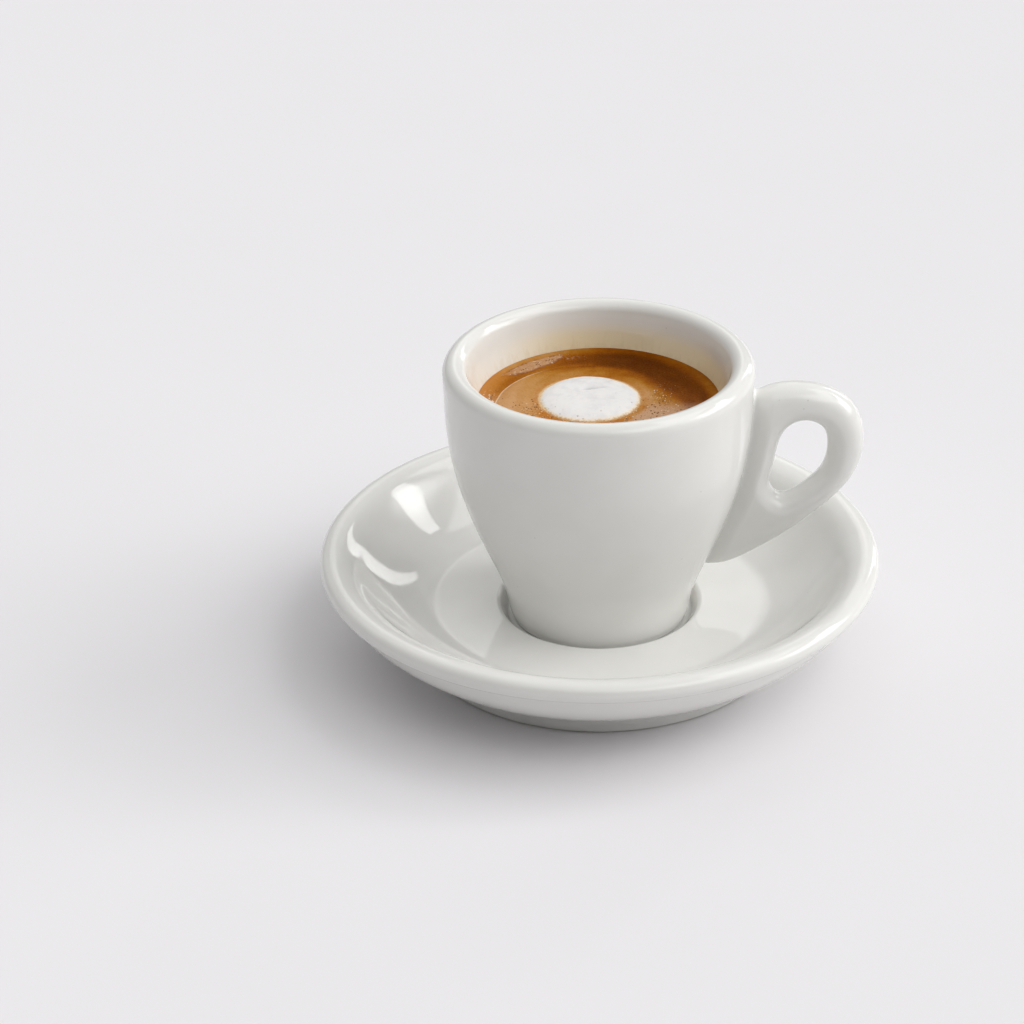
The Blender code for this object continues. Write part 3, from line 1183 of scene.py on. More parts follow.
    def handle_grid(self, sections: int = 120) -> Array:
        """The loop as a grid: round the hole one way, round the section the other.

        At share s = (1 - cos w) / 2 a point lies between the hole's edge and the outer
        edge, and it stands off the middle plane by half the width, times a quarter
        round of the distance to each edge, and less by the tuck where the loop runs into
        the wall. Close to the wall it then slides along the wall by
        r - sqrt(r^2 - (r - d)^2), which turns the corner into a fillet.

        Args:
            sections: number of points round a section.

        Returns:
            Array of shape (points round the hole, sections, 3), in metres.
        """
        ring, facing, root = self.handle_outline()
        w = np.arange(sections) * (2.0 * math.pi / sections)
        share = (0.5 - 0.5 * np.cos(w))[None, :, None]
        flat = facing[:, None] * (1.0 - share) + ring[:, None] * share
        edge_hole = np.vstack([facing, facing[:1]])
        free = ring[:self.outer_points]
        lift = edge_round(distance_to(flat, free), self.handle_round, self.handle_fullness)
        lift = lift * edge_round(distance_to(flat, edge_hole), self.hole_round)
        lift = lift * edge_round(distance_to(flat, root), self.root_round)
        off_wall = flat[..., 0] - self.wall_radius(flat[..., 1])
        lift = lift * (1.0 - self.tuck * (1.0 - smooth_share(off_wall, 0.0, self.tuck_reach)))
        narrow = self.tip_share + (1.0 - self.tip_share) * smooth_share(
            flat[..., 1], self.tip_height, self.full_height)
        side = np.sign(np.sin(w).round(9))[None]
        grid = np.stack([flat[..., 0], side * 0.5 * self.handle_width * narrow * lift,
                         flat[..., 1]], axis=-1)
        return self.filleted(grid) * MM

    def filleted(self, grid: Array) -> Array:
        """The loop with its corner against the wall filled out, in millimetres.

        Args:
            grid: the loop's points.

        Returns:
            The same points, those near the wall slid along it and away from the loop.
        """
        normal = grid_normals(grid, closed_rows=True)
        if Shell.volume(shell_of_ring(grid)) < 0.0:
            normal = -normal
        radial = np.hypot(grid[..., 0], grid[..., 1])
        wall = self.wall_radius(grid[..., 2])
        slope = (self.wall_radius(grid[..., 2] + 0.5) - self.wall_radius(grid[..., 2] - 0.5))
        steep = 1.0 / np.sqrt(1.0 + slope ** 2)
        off_wall = (radial - wall) * steep + 0.02
        wall_normal = np.stack([grid[..., 0] / radial * steep, grid[..., 1] / radial * steep,
                                -slope * steep], axis=-1)
        along = normal - (normal * wall_normal).sum(-1, keepdims=True) * wall_normal
        gap = np.clip(self.fillet - off_wall, 0.0, self.fillet)
        slide = self.fillet - np.sqrt(self.fillet ** 2 - gap ** 2)
        return grid + along * slide[..., None]

    def build_handle(self, material: bpy.types.Material) -> bpy.types.Object:
        """Make the handle loop, its roots inside the wall.

        Args:
            material: its glaze.

        Returns:
            The finished piece.
        """
        return piece_from("cup_handle", shell_of_ring(self.handle_grid()), material,
                          Slot.CUP, "cup")

    def build(self) -> list[bpy.types.Object]:
        """Make the body and the handle in one glaze.

        Returns:
            The two pieces.
        """
        glaze = Glaze("cup_glaze_white", foot_height=self.base * MM + 0.25 * MM,
                      stain=Stain.DRINK_LINE_AND_BOUNCE_LIGHT).material()
        return [self.build_body(glaze), self.build_handle(glaze)]


# ------------------------------------------------------------------ drink

@dataclass(frozen=True)
class Patch:
    """A soft patch on the drink, in millimetres, and how much it brings."""

    across: float
    along: float
    half_width: float
    half_depth: float
    much: float = 1.0

    def share(self, x: Array, y: Array) -> Array:
        """A bell round its middle: much * exp(-(dx / half_width)^2 - (dy / half_depth)^2)."""
        return self.much * np.exp(-((x - self.across) / self.half_width) ** 2
                                  - ((y - self.along) / self.half_depth) ** 2)


@dataclass(frozen=True)
class Sector:
    """A soft sector of the drink, and how much it brings.

    Its bearing is in degrees, and `begins` and `full` are cosines of the angle from it.
    """

    bearing: float
    begins: float
    full: float
    much: float

    def share(self, angle: Array) -> Array:
        """From 0 to `much`, by the cosine of the angle from the bearing."""
        return self.much * smooth_share(
            np.cos(angle - math.radians(self.bearing)), self.begins, self.full)


@dataclass
class Places:
    """Points of the drink's level, in millimetres, and what their look goes by."""

    x: Array
    y: Array
    radius: Array
    angle: Array
    from_foam: Array
    outside: Array
    clear: Array
    beyond: Array
    raft: Array
    raft_rim: Array


@dataclass
class Drink:
    """The espresso: a body that fills the cup, with a skin of crema on its level.

    Sizes are in millimetres. The tones are stations of (angle in degrees, thickness of the
    crema from 0 to 1), a span is the two places between which something sets in, and the
    raft's lumps and the three ripples have their wave lengths in metres.
    """

    level: float = 57.6
    steps: int = 384
    middle_rings: int = 14
    rings: int = 140
    middle_share: float = 0.36
    into_wall: float = 0.18
    meniscus: float = 0.45
    meniscus_reach: float = 1.3
    meniscus_fall: float = 2.2
    foam_radius: float = 10.72
    foam_middle: Station = (-1.85, 1.48)
    # The crema's tones by the angle, and where one row of them gives way to another.
    outer_tone: tuple[Station, ...] = (
        (-180.0, 1.0), (-140.0, 0.92), (-90.0, 0.90), (-40.0, 0.97), (-20.0, 0.88),
        (0.0, 0.68), (20.0, 0.34), (40.0, 0.08), (60.0, 0.26), (80.0, 0.52), (100.0, 0.64),
        (120.0, 0.72), (140.0, 1.0))
    inner_tone: tuple[Station, ...] = (
        (-180.0, 0.97), (-140.0, 0.86), (-90.0, 0.88), (-40.0, 0.96), (0.0, 0.93),
        (20.0, 1.0), (40.0, 0.88), (60.0, 0.72), (80.0, 0.64), (100.0, 0.71), (120.0, 0.84),
        (160.0, 0.93))
    ring_tone: tuple[Station, ...] = (
        (-180.0, 0.78), (-40.0, 0.80), (-20.0, 0.60), (0.0, 0.38), (20.0, 0.30),
        (40.0, 0.25), (60.0, 0.12), (80.0, 0.21), (100.0, 0.41), (120.0, 0.55), (140.0, 0.62),
        (160.0, 0.68))
    tone_change: Span = (1.2, 8.4)
    soft_edge: Span = (-1.6, 1.6)
    sharp_edge: Span = (-0.10, 0.12)
    left_dip: Span = (-3.4, -0.5)
    left_dip_depth: float = 0.13
    wall_band: Span = (22.2, 25.3)
    wall_gain: float = 0.32
    streak_gain: float = 0.08
    streaks: Waver = Waver(41, 1.0, 14, 7.0)
    wander: Waver = Waver(42, 5.0, 8, 9.0)
    raft_tone: float = 0.80
    raft_cover: float = 0.9
    # How much darker the raft's rim is: a painted shadow line.
    raft_rim_shade: float = 0.30
    # Where the crema turns rosy, orange or pale, and where highlights and glints are painted on
    # it.
    rosy_from: Span = (0.8, 3.0)
    rosy_left: Span = (14.0, 20.0)
    rosy_left_gain: float = 0.25
    raft_rose: float = 0.55
    far_left_rose: float = 0.6
    orange_band: tuple[Span, Span] = ((0.2, 1.0), (2.0, 4.5))
    orange_edge: Span = (21.6, 23.6)
    collar_place: float = 0.85
    collar_width: float = 0.75
    collar_gain: float = 0.62
    # A painted highlight: the pale line along the skin's edge, where its step catches light.
    edge_glint_place: float = -0.05
    edge_glint_width: float = 0.13
    edge_glint_gain: float = 0.55
    halo_edge: Span = (-0.6, 1.0)
    amber_spots: tuple[Patch, ...] = (
        Patch(-11.4, -5.2, 1.3, 1.3, 0.95), Patch(-10.2, -6.9, 0.9, 0.9, 0.95),
        Patch(4.6, -8.6, 1.0, 1.0, 0.95), Patch(6.2, -7.6, 0.8, 0.8, 0.95),
        Patch(-5.0, -10.6, 0.9, 0.9, 0.95), Patch(9.6, -2.6, 0.8, 0.8, 0.95))
    far_left: Patch = Patch(-23.3, 1.5, 1.5, 3.0)
    beside_raft: Patch = Patch(-5.6, 21.8, 1.6, 1.3)
    rosy_front: Sector = Sector(-38.0, 0.78, 0.96, 0.80)
    orange_front: Sector = Sector(-112.0, 0.35, 0.95, 0.75)
    orange_wall: Sector = Sector(166.0, 0.86, 0.97, 0.75)
    flecks: Waver = Waver(45, 1.0, 24, 0.55)
    collar: Waver = Waver(46, 0.7, 20, 1.5)
    # Where it is bubbly.
    least_froth: float = 0.12
    raft_froth: float = 0.6
    froth: tuple[Patch, ...] = (
        Patch(-13.2, -3.0, 4.5, 4.5, 0.95), Patch(-8.0, -9.5, 6.0, 3.0, 0.9),
        Patch(12.0, -5.0, 6.5, 4.0, 0.95), Patch(13.2, 3.0, 2.6, 4.6, 0.85),
        Patch(4.0, -10.5, 7.0, 2.4, 0.95), Patch(-23.2, 3.5, 1.6, 4.0, 0.8),
        Patch(17.5, 13.0, 3.0, 3.0, 0.10), Patch(-5.5, 22.2, 3.0, 1.6, 0.5))
    # The thick skin's round edge, the raft of bubbles, and the ripples.
    skin_middle: Station = (-2.0, -2.0)
    skin_radius: float = 19.75
    skin_step: float = 0.11
    skin_clear: tuple[Span, Span] = ((112.0, 132.0), (188.0, 205.0))
    skin_waver: Waver = Waver(43, 0.16, 9, 6.0)
    raft_angle: float = 127.0
    raft_spread: float = 20.5
    raft_outside: float = 24.3
    raft_width: float = 3.6
    raft_height: float = 0.26
    raft_inner_edge: Span = (-0.30, 0.40)
    raft_outer_edge: Span = (-0.45, 0.3)
    raft_tips: Span = (0.94, 1.0)
    raft_waver: Waver = Waver(44, 0.22, 16, 1.1)
    raft_lumps: Waver = Waver(34, 0.5, 20, 0.8 * MM)
    ripple: Waver = Waver(31, 0.030, 16, 4.5 * MM)
    swell: Waver = Waver(32, 0.03, 10, 11.0 * MM)
    froth_ripple: Waver = Waver(33, 0.014, 22, 0.9 * MM)
    still_edge: Span = (22.0, 25.0)

    def profile(self, cup: Cup) -> Array:
        """Section from the level's middle out to the wall, and down beside it.

        The meniscus rises as exp(-fall * d / reach), with d the distance from the wall.

        Args:
            cup: the cup that holds the drink.

        Returns:
            Array of (radius, height) in metres.
        """
        wall = cup.inner_wall()
        edge = float(np.interp(self.level, wall[:, 1], wall[:, 0]))
        share = np.concatenate([
            np.linspace(0.0, self.middle_share, self.middle_rings, endpoint=False),
            np.linspace(self.middle_share, 1.0, self.rings)])
        radius = (edge + self.into_wall) * share
        top = np.column_stack([radius, np.full(len(radius), self.level)])
        top[:, 1] += self.meniscus * np.exp(
            -(edge - radius).clip(0.0) / self.meniscus_reach * self.meniscus_fall)
        below = wall[wall[:, 1] < self.level - 0.6][::-1]
        ahead = np.gradient(below, axis=0)
        ahead /= np.linalg.norm(ahead, axis=1, keepdims=True)
        below = below + np.column_stack([-ahead[:, 1], ahead[:, 0]]) * self.into_wall
        below[-1, 0] = 0.0
        return without_doubles(np.vstack([top, below])) * MM

    def skin_edge(self, x: Array, y: Array) -> tuple[Array, Array]:
        """Distance outside the thick skin's round edge, and how clear that edge is.

        The edge is a circle off the middle, with slow waves. It is sharp at the left and
        dies away towards the back and the front.

        Args:
            x: first coordinates, in millimetres.
            y: second coordinates, in millimetres.

        Returns:
            The distance in millimetres, and the clearness from 0 to 1.
        """
        across, along = x - self.skin_middle[0], y - self.skin_middle[1]
        turn = np.degrees(np.arctan2(along, across)) % 360.0
        begins, ends = (smooth_share(turn, *span) for span in self.skin_clear)
        outside = (np.hypot(across, along) - self.skin_radius
                   - self.skin_waver.at(on_level(x, y)))
        return outside, begins * (1.0 - ends)

    def raft(self, x: Array, y: Array) -> Array:
        """How much a point is on the raft of bubbles along the wall, from 0 to 1.

        The raft is a leaf between an arc and a flatter one: across the spread u from -1
        to 1 its width is raft_width times (1 - u^2)^0.7.

        Args:
            x: first coordinates, in millimetres.
            y: second coordinates, in millimetres.

        Returns:
            Values from 0 to 1.
        """
        turn = np.degrees(np.arctan2(y, x))
        u = np.clip((turn - self.raft_angle) / self.raft_spread, -1.0, 1.0)
        radius = np.hypot(x, y) + self.raft_waver.at(on_level(x, y))
        inside = self.raft_outside - self.raft_width * (1.0 - u ** 2) ** 0.7
        from_inside, from_outside = radius - inside, radius - self.raft_outside
        return (smooth_share(from_inside, *self.raft_inner_edge)
                * (1.0 - smooth_share(from_outside, *self.raft_outer_edge))
                * (1.0 - smooth_share(np.abs(u), *self.raft_tips)))

    def bubbly(self, x: Array, y: Array) -> Array:
        """How bubbly the crema is: bells round its bubbly places, and the raft itself.

        Args:
            x: first coordinates, in millimetres.
            y: second coordinates, in millimetres.

        Returns:
            Values from 0 to 1.
        """
        total = self.least_froth + self.raft_froth * self.raft(x, y)
        for patch in self.froth:
            total = total + patch.share(x, y)
        return np.clip(total, 0.0, 1.0)

    def places(self, grid: Array) -> Places:
        """Where the drink's points lie on its level.

        Args:
            grid: the drink's turned points, in metres.

        Returns:
            Their places, with the distance from the foam, the distance outside the
            skin's edge and how clear that edge is, the share beyond it, the raft and
            the raft's own rim.
        """
        x, y = grid[..., 0] / MM, grid[..., 1] / MM
        from_foam = np.hypot(x - self.foam_middle[0], y - self.foam_middle[1]) - self.foam_radius
        outside, clear = self.skin_edge(x, y)
        raft = self.raft(x, y)
        return Places(x, y, np.hypot(x, y), np.arctan2(y, x), from_foam, outside, clear,
                      smooth_share(outside, *self.sharp_edge), raft,
                      np.clip(4.0 * raft * (1.0 - raft), 0.0, 1.0))

    def thickness(self, at: Places, streaks: Array, shift: Array) -> Array:
        """How thick the crema is.

        The tone goes by the angle, from one row of stations near the foam to another
        further out, and to a third one beyond the skin's edge. It falls just inside
        that edge at the left, rises against the wall, and the raft has its own, with a
        painted shadow line along the raft's rim.

        Args:
            at: places on the drink.
            streaks: slow streaks that run round, from -1 to 1.
            shift: degrees by which the stations wander.

        Returns:
            Values from about 0 to 1.
        """
        degrees = np.degrees(at.angle) + shift
        inner, outer, ring = (np.interp(degrees, *np.transpose(row), period=360.0)
                              for row in (self.inner_tone, self.outer_tone, self.ring_tone))
        thick = inner + (outer - inner) * smooth_share(at.from_foam, *self.tone_change)
        soft = smooth_share(at.outside, *self.soft_edge)
        thick += (ring - thick) * (soft + (at.beyond - soft) * at.clear)
        dip = smooth_share(at.outside, *self.left_dip) * (1.0 - at.beyond) * (at.x < 0.0)
        thick += (self.wall_gain * smooth_share(at.radius, *self.wall_band)
                  + self.streak_gain * streaks - self.left_dip_depth * dip)
        thick += (self.raft_tone - thick) * at.raft * self.raft_cover
        # A painted shadow line along the raft's rim.
        return thick - self.raft_rim_shade * at.raft_rim

    def rose(self, at: Places) -> Array:
        """How rosy it is: at the front right, on the raft and along the left.

        Args:
            at: places on the drink.

        Returns:
            Values from 0 up.
        """
        front = self.rosy_front.share(at.angle) * smooth_share(at.from_foam, *self.rosy_from)
        left = smooth_share(-at.x, *self.rosy_left) * (1.0 - at.beyond)
        return (front + self.raft_rose * at.raft + self.rosy_left_gain * left
                + self.far_left_rose * self.far_left.share(at.x, at.y))

    def orange(self, at: Places, streaks: Array) -> Array:
        """How orange it is.

        Orange are a band at the foam's front left, a broken collar close round the foam,
        the drink's edge at the left wall, and the amber spots.

        Args:
            at: places on the drink.
            streaks: slow streaks that run round, from -1 to 1.

        Returns:
            Values from 0 up.
        """
        inner, outer = (smooth_share(at.from_foam, *edge) for edge in self.orange_band)
        collar = (0.5 + self.collar.at(on_level(at.x, at.y))).clip(0.0, 1.0)
        orange = (
            self.orange_front.share(at.angle) * inner * (1.0 - outer) * (0.65 + 0.5 * streaks)
            + self.collar_gain * collar * bell(at.from_foam - self.collar_place,
                                               self.collar_width)
            + self.orange_wall.share(at.angle) * smooth_share(at.radius, *self.orange_edge))
        for patch in self.amber_spots:
            orange += patch.share(at.x, at.y)
        return orange

    def painted_highlights(self, at: Places) -> Array:
        """Painted highlights: the thin pale line on the skin's edge, and pale flecks on and beside
        the raft as painted glints.

        Args:
            at: places on the drink.

        Returns:
            Values from 0 to 1.
        """
        flecks = self.flecks.at(on_level(at.x, at.y))
        flecked = np.maximum.reduce([
            at.raft_rim * (0.35 + 0.65 * (at.x > -13.5)), 0.45 * at.raft,
            np.clip(2.0 * self.far_left.share(at.x, at.y), 0.0, 1.0)])
        return np.maximum.reduce([
            self.edge_glint_gain * at.clear * bell(at.outside - self.edge_glint_place, self.edge_glint_width),
            smooth_share(flecks, 0.45, 1.0) * flecked,
            smooth_share(flecks, 0.5, 1.0) * self.beside_raft.share(at.x, at.y)])

    def skin_values(self, grid: Array) -> dict[str, Array]:
        """What the crema is like at each point of the drink.

        Streaks and the tones' wander go by a coordinate that runs round the drink:
        (10 cos a, 10 sin a, 2.2 r).

        Args:
            grid: the drink's turned points, in metres.

        Returns:
            Arrays "thick", "rose", "orange", "halo", "bubbly" and "line", from 0 to 1; "line"
            holds painted highlights and glints.
        """
        at = self.places(grid)
        round_way = np.stack([10.0 * np.cos(at.angle), 10.0 * np.sin(at.angle),
                              2.2 * at.radius], -1)
        streaks = self.streaks.at(round_way)
        thick = self.thickness(at, streaks, self.wander.at(round_way))
        return {"thick": thick.clip(0.0, 1.0), "rose": self.rose(at).clip(0.0, 1.0),
                "orange": self.orange(at, streaks).clip(0.0, 1.0),
                "halo": 1.0 - smooth_share(at.from_foam, *self.halo_edge),
                "bubbly": self.bubbly(at.x, at.y), "line": self.painted_highlights(at)}

    def lift(self, x: Array, y: Array) -> Array:
        """Height of the skin over the level: ripples, the thick skin's step, the raft.

        Args:
            x: first coordinates, in metres.
            y: second coordinates, in metres.

        Returns:
            The heights, in metres.
        """
        flat = on_level(x, y)
        x, y = x / MM, y / MM
        bubbly, raft = self.bubbly(x, y), self.raft(x, y)
        outside, clear = self.skin_edge(x, y)
        ripple = self.ripple.at(flat) + self.swell.at(flat) + self.froth_ripple.at(flat) * bubbly
        ripple *= 1.0 - smooth_share(np.hypot(x, y), *self.still_edge)
        step = self.skin_step * (0.08 + 0.92 * clear) * (1.0 - smooth_share(outside, -0.25, 0.25))
        froth = self.raft_height * raft * (1.0 + self.raft_lumps.at(flat))
        return (ripple + step + froth) * MM

    def build(self, cup: Cup) -> bpy.types.Object:
        """Make the drink, with low ripples on its level.

        Args:
            cup: the cup that holds it.

        Returns:
            The finished piece.
        """
        grid = turned(self.profile(cup), self.steps)
        on_top = np.arange(len(grid))[:, None] < self.middle_rings + self.rings
        grid[..., 2] += np.where(on_top, self.lift(grid[..., 0], grid[..., 1]), 0.0)
        shell = shell_of_turning(grid)
        shell.values = {label: values_of_turning(values)
                        for label, values in self.skin_values(grid).items()}
        return piece_from("coffee_body", shell, Crema().material(), Slot.CREMA, "coffee")


@dataclass
class MilkFoam:
    """The spot of milk foam: a low cushion with an uneven edge, pits and one crease.

    Sizes are in millimetres.
    """

    level: float = 57.6
    middle: Station = (-1.85, 1.48)
    radius: float = 10.72
    thickness: float = 1.15
    steps: int = 320
    rings: int = 130
    edge: Waver = Waver(51, 0.018, 7, 1.6)
    fringe: Waver = Waver(52, 0.012, 9, 0.45)
    lumps: Waver = Waver(53, 0.07, 14, 5.0)
    grain: Waver = Waver(54, 0.03, 18, 1.6)
    bowl_depth: float = 0.35
    pit_seed: int = 61
    pit_depth: float = 0.22
    small_pits: int = 12
    pits: tuple[Station, ...] = ((-8.3, -6.0), (-4.6, -7.4), (-3.5, -8.3), (0.3, -5.8),
                                 (-10.6, -3.4), (-9.2, -3.2), (6.9, -1.4), (3.0, 9.0),
                                 (2.4, 7.9))
    crease_middle: Station = (-0.8, 4.4)
    crease_slope: float = 0.24
    crease_depth: float = 0.42
    crease_near: float = 0.16
    crease_far: float = 0.75
    crease_reach: float = 2.5

    def build(self) -> bpy.types.Object:
        """Make the foam.

        The edge's radius is the mean one, wavered slowly and finely round it. At share s
        of that radius the top stands at thickness * (1 - s^4)^0.8, plus low lumps, less a
        bell of each pit, less a narrow bell across the crease. The underside is a shallow
        bowl below the drink's level.

        Returns:
            The finished piece.
        """
        angle = np.arange(self.steps) * (2.0 * math.pi / self.steps)
        round_edge = np.column_stack([np.cos(angle), np.sin(angle), np.zeros(self.steps)])
        outline = self.radius * (1.0 + self.edge.at(round_edge) + self.fringe.at(round_edge))
        share = np.linspace(0.0, 1.0, self.rings)[:, None] ** 0.85
        x = self.middle[0] + share * outline * np.cos(angle)
        y = self.middle[1] + share * outline * np.sin(angle)
        flat = on_level(x, y)
        body = (1.0 - share ** 4) ** 0.8
        lumps = self.lumps.at(flat) + self.grain.at(flat)
        pit = self.pit_share(x, y)
        crease = self.crease_share(x, y)
        top = (self.level + (self.thickness + lumps) * body
               - self.pit_depth * pit - self.crease_depth * crease)
        under_share = np.linspace(1.0, 0.0, 24)[1:, None]
        under_x = self.middle[0] + under_share * outline * np.cos(angle)
        under_y = self.middle[1] + under_share * outline * np.sin(angle)
        under = np.full_like(under_x, self.level) - self.bowl_depth * (1.0 - under_share ** 2)
        grid = np.concatenate([np.stack([x, y, top], axis=-1),
                               np.stack([under_x, under_y, under], axis=-1)]) * MM
        shell = shell_of_turning(grid)
        below = np.ones_like(under_x)
        # The edge value grows towards the back, where the foam falls away from the light: painted
        # shade that widens the cream band there.
        edge_and_back_shade = share + 0.05 * smooth_share(np.sin(angle), 0.2, 0.9) * share ** 4
        edge = np.concatenate([edge_and_back_shade, below])
        shell.values = {"edge": values_of_turning(edge),
                        "pit": values_of_turning(np.concatenate([pit, below * 0.0])),
                        "crease": values_of_turning(np.concatenate([crease, below * 0.0]))}
        return piece_from("milk_foam_spot", shell, MilkFoamFinish().material(), Slot.FOAM,
                          "milk_foam")

    def pit_share(self, x: Array, y: Array) -> Array:
        """Depth of the small open pits, 1 in the middle of each.

        Args:
            x: first coordinates, in millimetres.
            y: second coordinates, in millimetres.

        Returns:
            Values from 0 to 1.
        """
        draw = np.random.default_rng(self.pit_seed)
        away = self.radius * np.sqrt(draw.uniform(0.12, 0.90, self.small_pits))
        turn = draw.uniform(-math.pi, 0.35, self.small_pits)
        strewn = np.column_stack([self.middle[0] + away * np.cos(turn),
                                  self.middle[1] + away * np.sin(turn)])
        px, py = np.vstack([self.pits, strewn]).T
        size = np.concatenate([draw.uniform(0.11, 0.17, len(self.pits)),
                               draw.uniform(0.06, 0.10, self.small_pits)])
        far = (x[..., None] - px) ** 2 + (y[..., None] - py) ** 2
        return np.exp(-((far / size ** 2) ** 1.5)).max(-1)

    def crease_share(self, x: Array, y: Array) -> Array:
        """Depth of the crease: steep on its near side, fading away on its far side.

        Args:
            x: first coordinates, in millimetres.
            y: second coordinates, in millimetres.

        Returns:
            Values from 0 to 1.
        """
        along = x - self.crease_middle[0]
        across = y - self.crease_middle[1] - self.crease_slope * along
        ends = bell(along, self.crease_reach, 4.0) * (
            0.6 + 0.4 * smooth_share(-along, -1.5, 1.5))
        return np.where(across < 0.0, bell(across, self.crease_near),
                        bell(across, self.crease_far)) * ends


@dataclass
class Bubbles:
    """Bubbles that stand on the crema, as low domes.

    Sizes are in millimetres.
    """

    drink: Drink
    count: int = 2300
    smallest: float = 0.05
    largest: float = 0.22
    pale_share: float = 0.30
    sides: int = 9
    rings: int = 3
    tallness: float = 0.75
    tries: int = 16000
    reach: float = 24.6
    seed: int = 71
    pale_seed: int = 73
    clumps: Waver = Waver(72, 0.5, 14, 2.6)
    least_bubbly: float = 0.14
    foam_gap: float = 0.25

    def places(self) -> tuple[Array, Array]:
        """Where the bubbles sit and how large each is.

        They are as dense as the crema is bubbly, none lies on the foam or against the
        wall, and most are small.

        Returns:
            Array of middles (count, 2) and of radii.
        """
        draw = np.random.default_rng(self.seed)
        x, y = draw.uniform(-self.reach, self.reach, (2, self.tries))
        grown = draw.uniform(0, 1, self.tries) ** 3.2
        size = self.smallest + (self.largest - self.smallest) * grown
        drink = self.drink
        from_foam = np.hypot(x - drink.foam_middle[0], y - drink.foam_middle[1])
        clumps = 0.5 + self.clumps.at(on_level(x, y))
        chance = (drink.bubbly(x, y) - self.least_bubbly).clip(0.0) * (0.25 + 0.75 * clumps)
        keep = (draw.uniform(0, 1, self.tries) < chance) & (np.hypot(x, y) < self.reach)
        keep &= from_foam > drink.foam_radius + size + self.foam_gap
        chosen = np.flatnonzero(keep)[:self.count]
        return np.column_stack([x, y])[chosen], size[chosen]

    def build(self) -> bpy.types.Object:
        """Make all the bubbles as one piece: copies of a low turned dome, closed below.

        Returns:
            The finished piece.
        """
        middle, size = self.places()
        tilt = np.linspace(0.0, math.radians(100.0), self.rings + 2)
        side = np.column_stack([np.sin(tilt), self.tallness * np.cos(tilt)])
        dome = shell_of_turning(turned(np.vstack([side, [0.0, side[-1, 1]]]), self.sides))
        points = dome.points[None] * size[:, None, None]
        points[..., :2] += middle[:, None]
        lift = self.drink.lift(middle[:, 0] * MM, middle[:, 1] * MM) / MM
        points[..., 2] += (self.drink.level + lift)[:, None]
        shift = (np.arange(len(size)) * len(dome.points))[:, None, None]
        low = np.clip(1.0 - dome.points[:, 2] / self.tallness, 0.0, 1.0)
        lot = np.random.default_rng(self.pale_seed).uniform(0, 1, len(size))
        pale = 0.8 * ((lot < self.pale_share) & (self.drink.bubbly(*middle.T) > 0.5))
        shell = Shell(points.reshape(-1, 3) * MM, (dome.quads[None] + shift).reshape(-1, 4),
                      (dome.triangles[None] + shift).reshape(-1, 3),
                      {"low": np.tile(low, len(size)),
                       "pale": np.repeat(pale, len(dome.points))})
        return piece_from("crema_bubbles", shell, BubbleFinish("bubble_skin").material(),
                          Slot.CREMA)


# ------------------------------------------------------------------ studio

@dataclass(frozen=True)
class Panel:
    """A lit panel far away, given by the direction that its middle lies in.

    Angles are in degrees, and the bearing runs from +X towards +Y. The half width and
    the half height are as seen from the cup, `turn` tips the panel in its own plane,
    `blur` is the share of each half over which its edge fades, and `taper` is the share
    by which its height is less at its far side.
    """

    name: str
    bearing: float
    height: float
    half_width: float
    half_height: float
    glow: float
    turn: float = 0.0
    blur: float = 0.1
    taper: float = 0.0
    colour: Colour = (1.0, 1.0, 1.0)

    def ways(self) -> tuple[Vector, Vector, Vector]:
        """The directions of its middle, its side of growing bearing and its upper side.

        Returns:
            Three directions of length 1, square to each other.
        """
        bearing, height, turn = map(math.radians, (self.bearing, self.height, self.turn))
        middle = Vector((math.cos(height) * math.cos(bearing),
                         math.cos(height) * math.sin(bearing), math.sin(height)))
        side = Vector((-math.sin(bearing), math.cos(bearing), 0.0))
        up = middle.cross(side)
        return (middle, side * math.cos(turn) + up * math.sin(turn),
                up * math.cos(turn) - side * math.sin(turn))

    def light(self, bench: Bench) -> bpy.types.NodeSocket:
        """Its light as a shader of the surroundings.

        A direction is on the panel where its reach along the side and the upper way,
        each divided by its reach along the middle, is less than the half's tangent. The
        taper takes 1 - taper * (share of the way to the far side) off the half height.

        Args:
            bench: the surroundings' nodes, on directions.

        Returns:
            The shader's output.
        """
        middle, side, up = self.ways()
        ahead = bench.along(middle)
        share = bench.spread(ahead, 0.0, 0.08)
        nearly = bench.math("MAXIMUM", ahead, 0.02)
        across, over = (
            bench.math("DIVIDE", bench.along(way),
                       bench.times(nearly, math.tan(math.radians(half))))
            for way, half in ((side, self.half_width), (up, self.half_height)))
        if self.taper:
            over = bench.math("DIVIDE", over, bench.math(
                "MAXIMUM", bench.math("MULTIPLY_ADD", across, -self.taper, 1.0), 0.1))
        for part in (across, over):
            share = bench.times(share, bench.spread(
                bench.math("ABSOLUTE", part), 1.0 - self.blur, 1.0 + self.blur, 1.0, 0.0))
        lamp = bench.node("ShaderNodeBackground", label=self.name)
        bench.wire(self.colour, lamp.inputs["Color"])
        bench.wire(bench.times(share, self.glow), lamp.inputs["Strength"])
        return lamp.outputs[0]


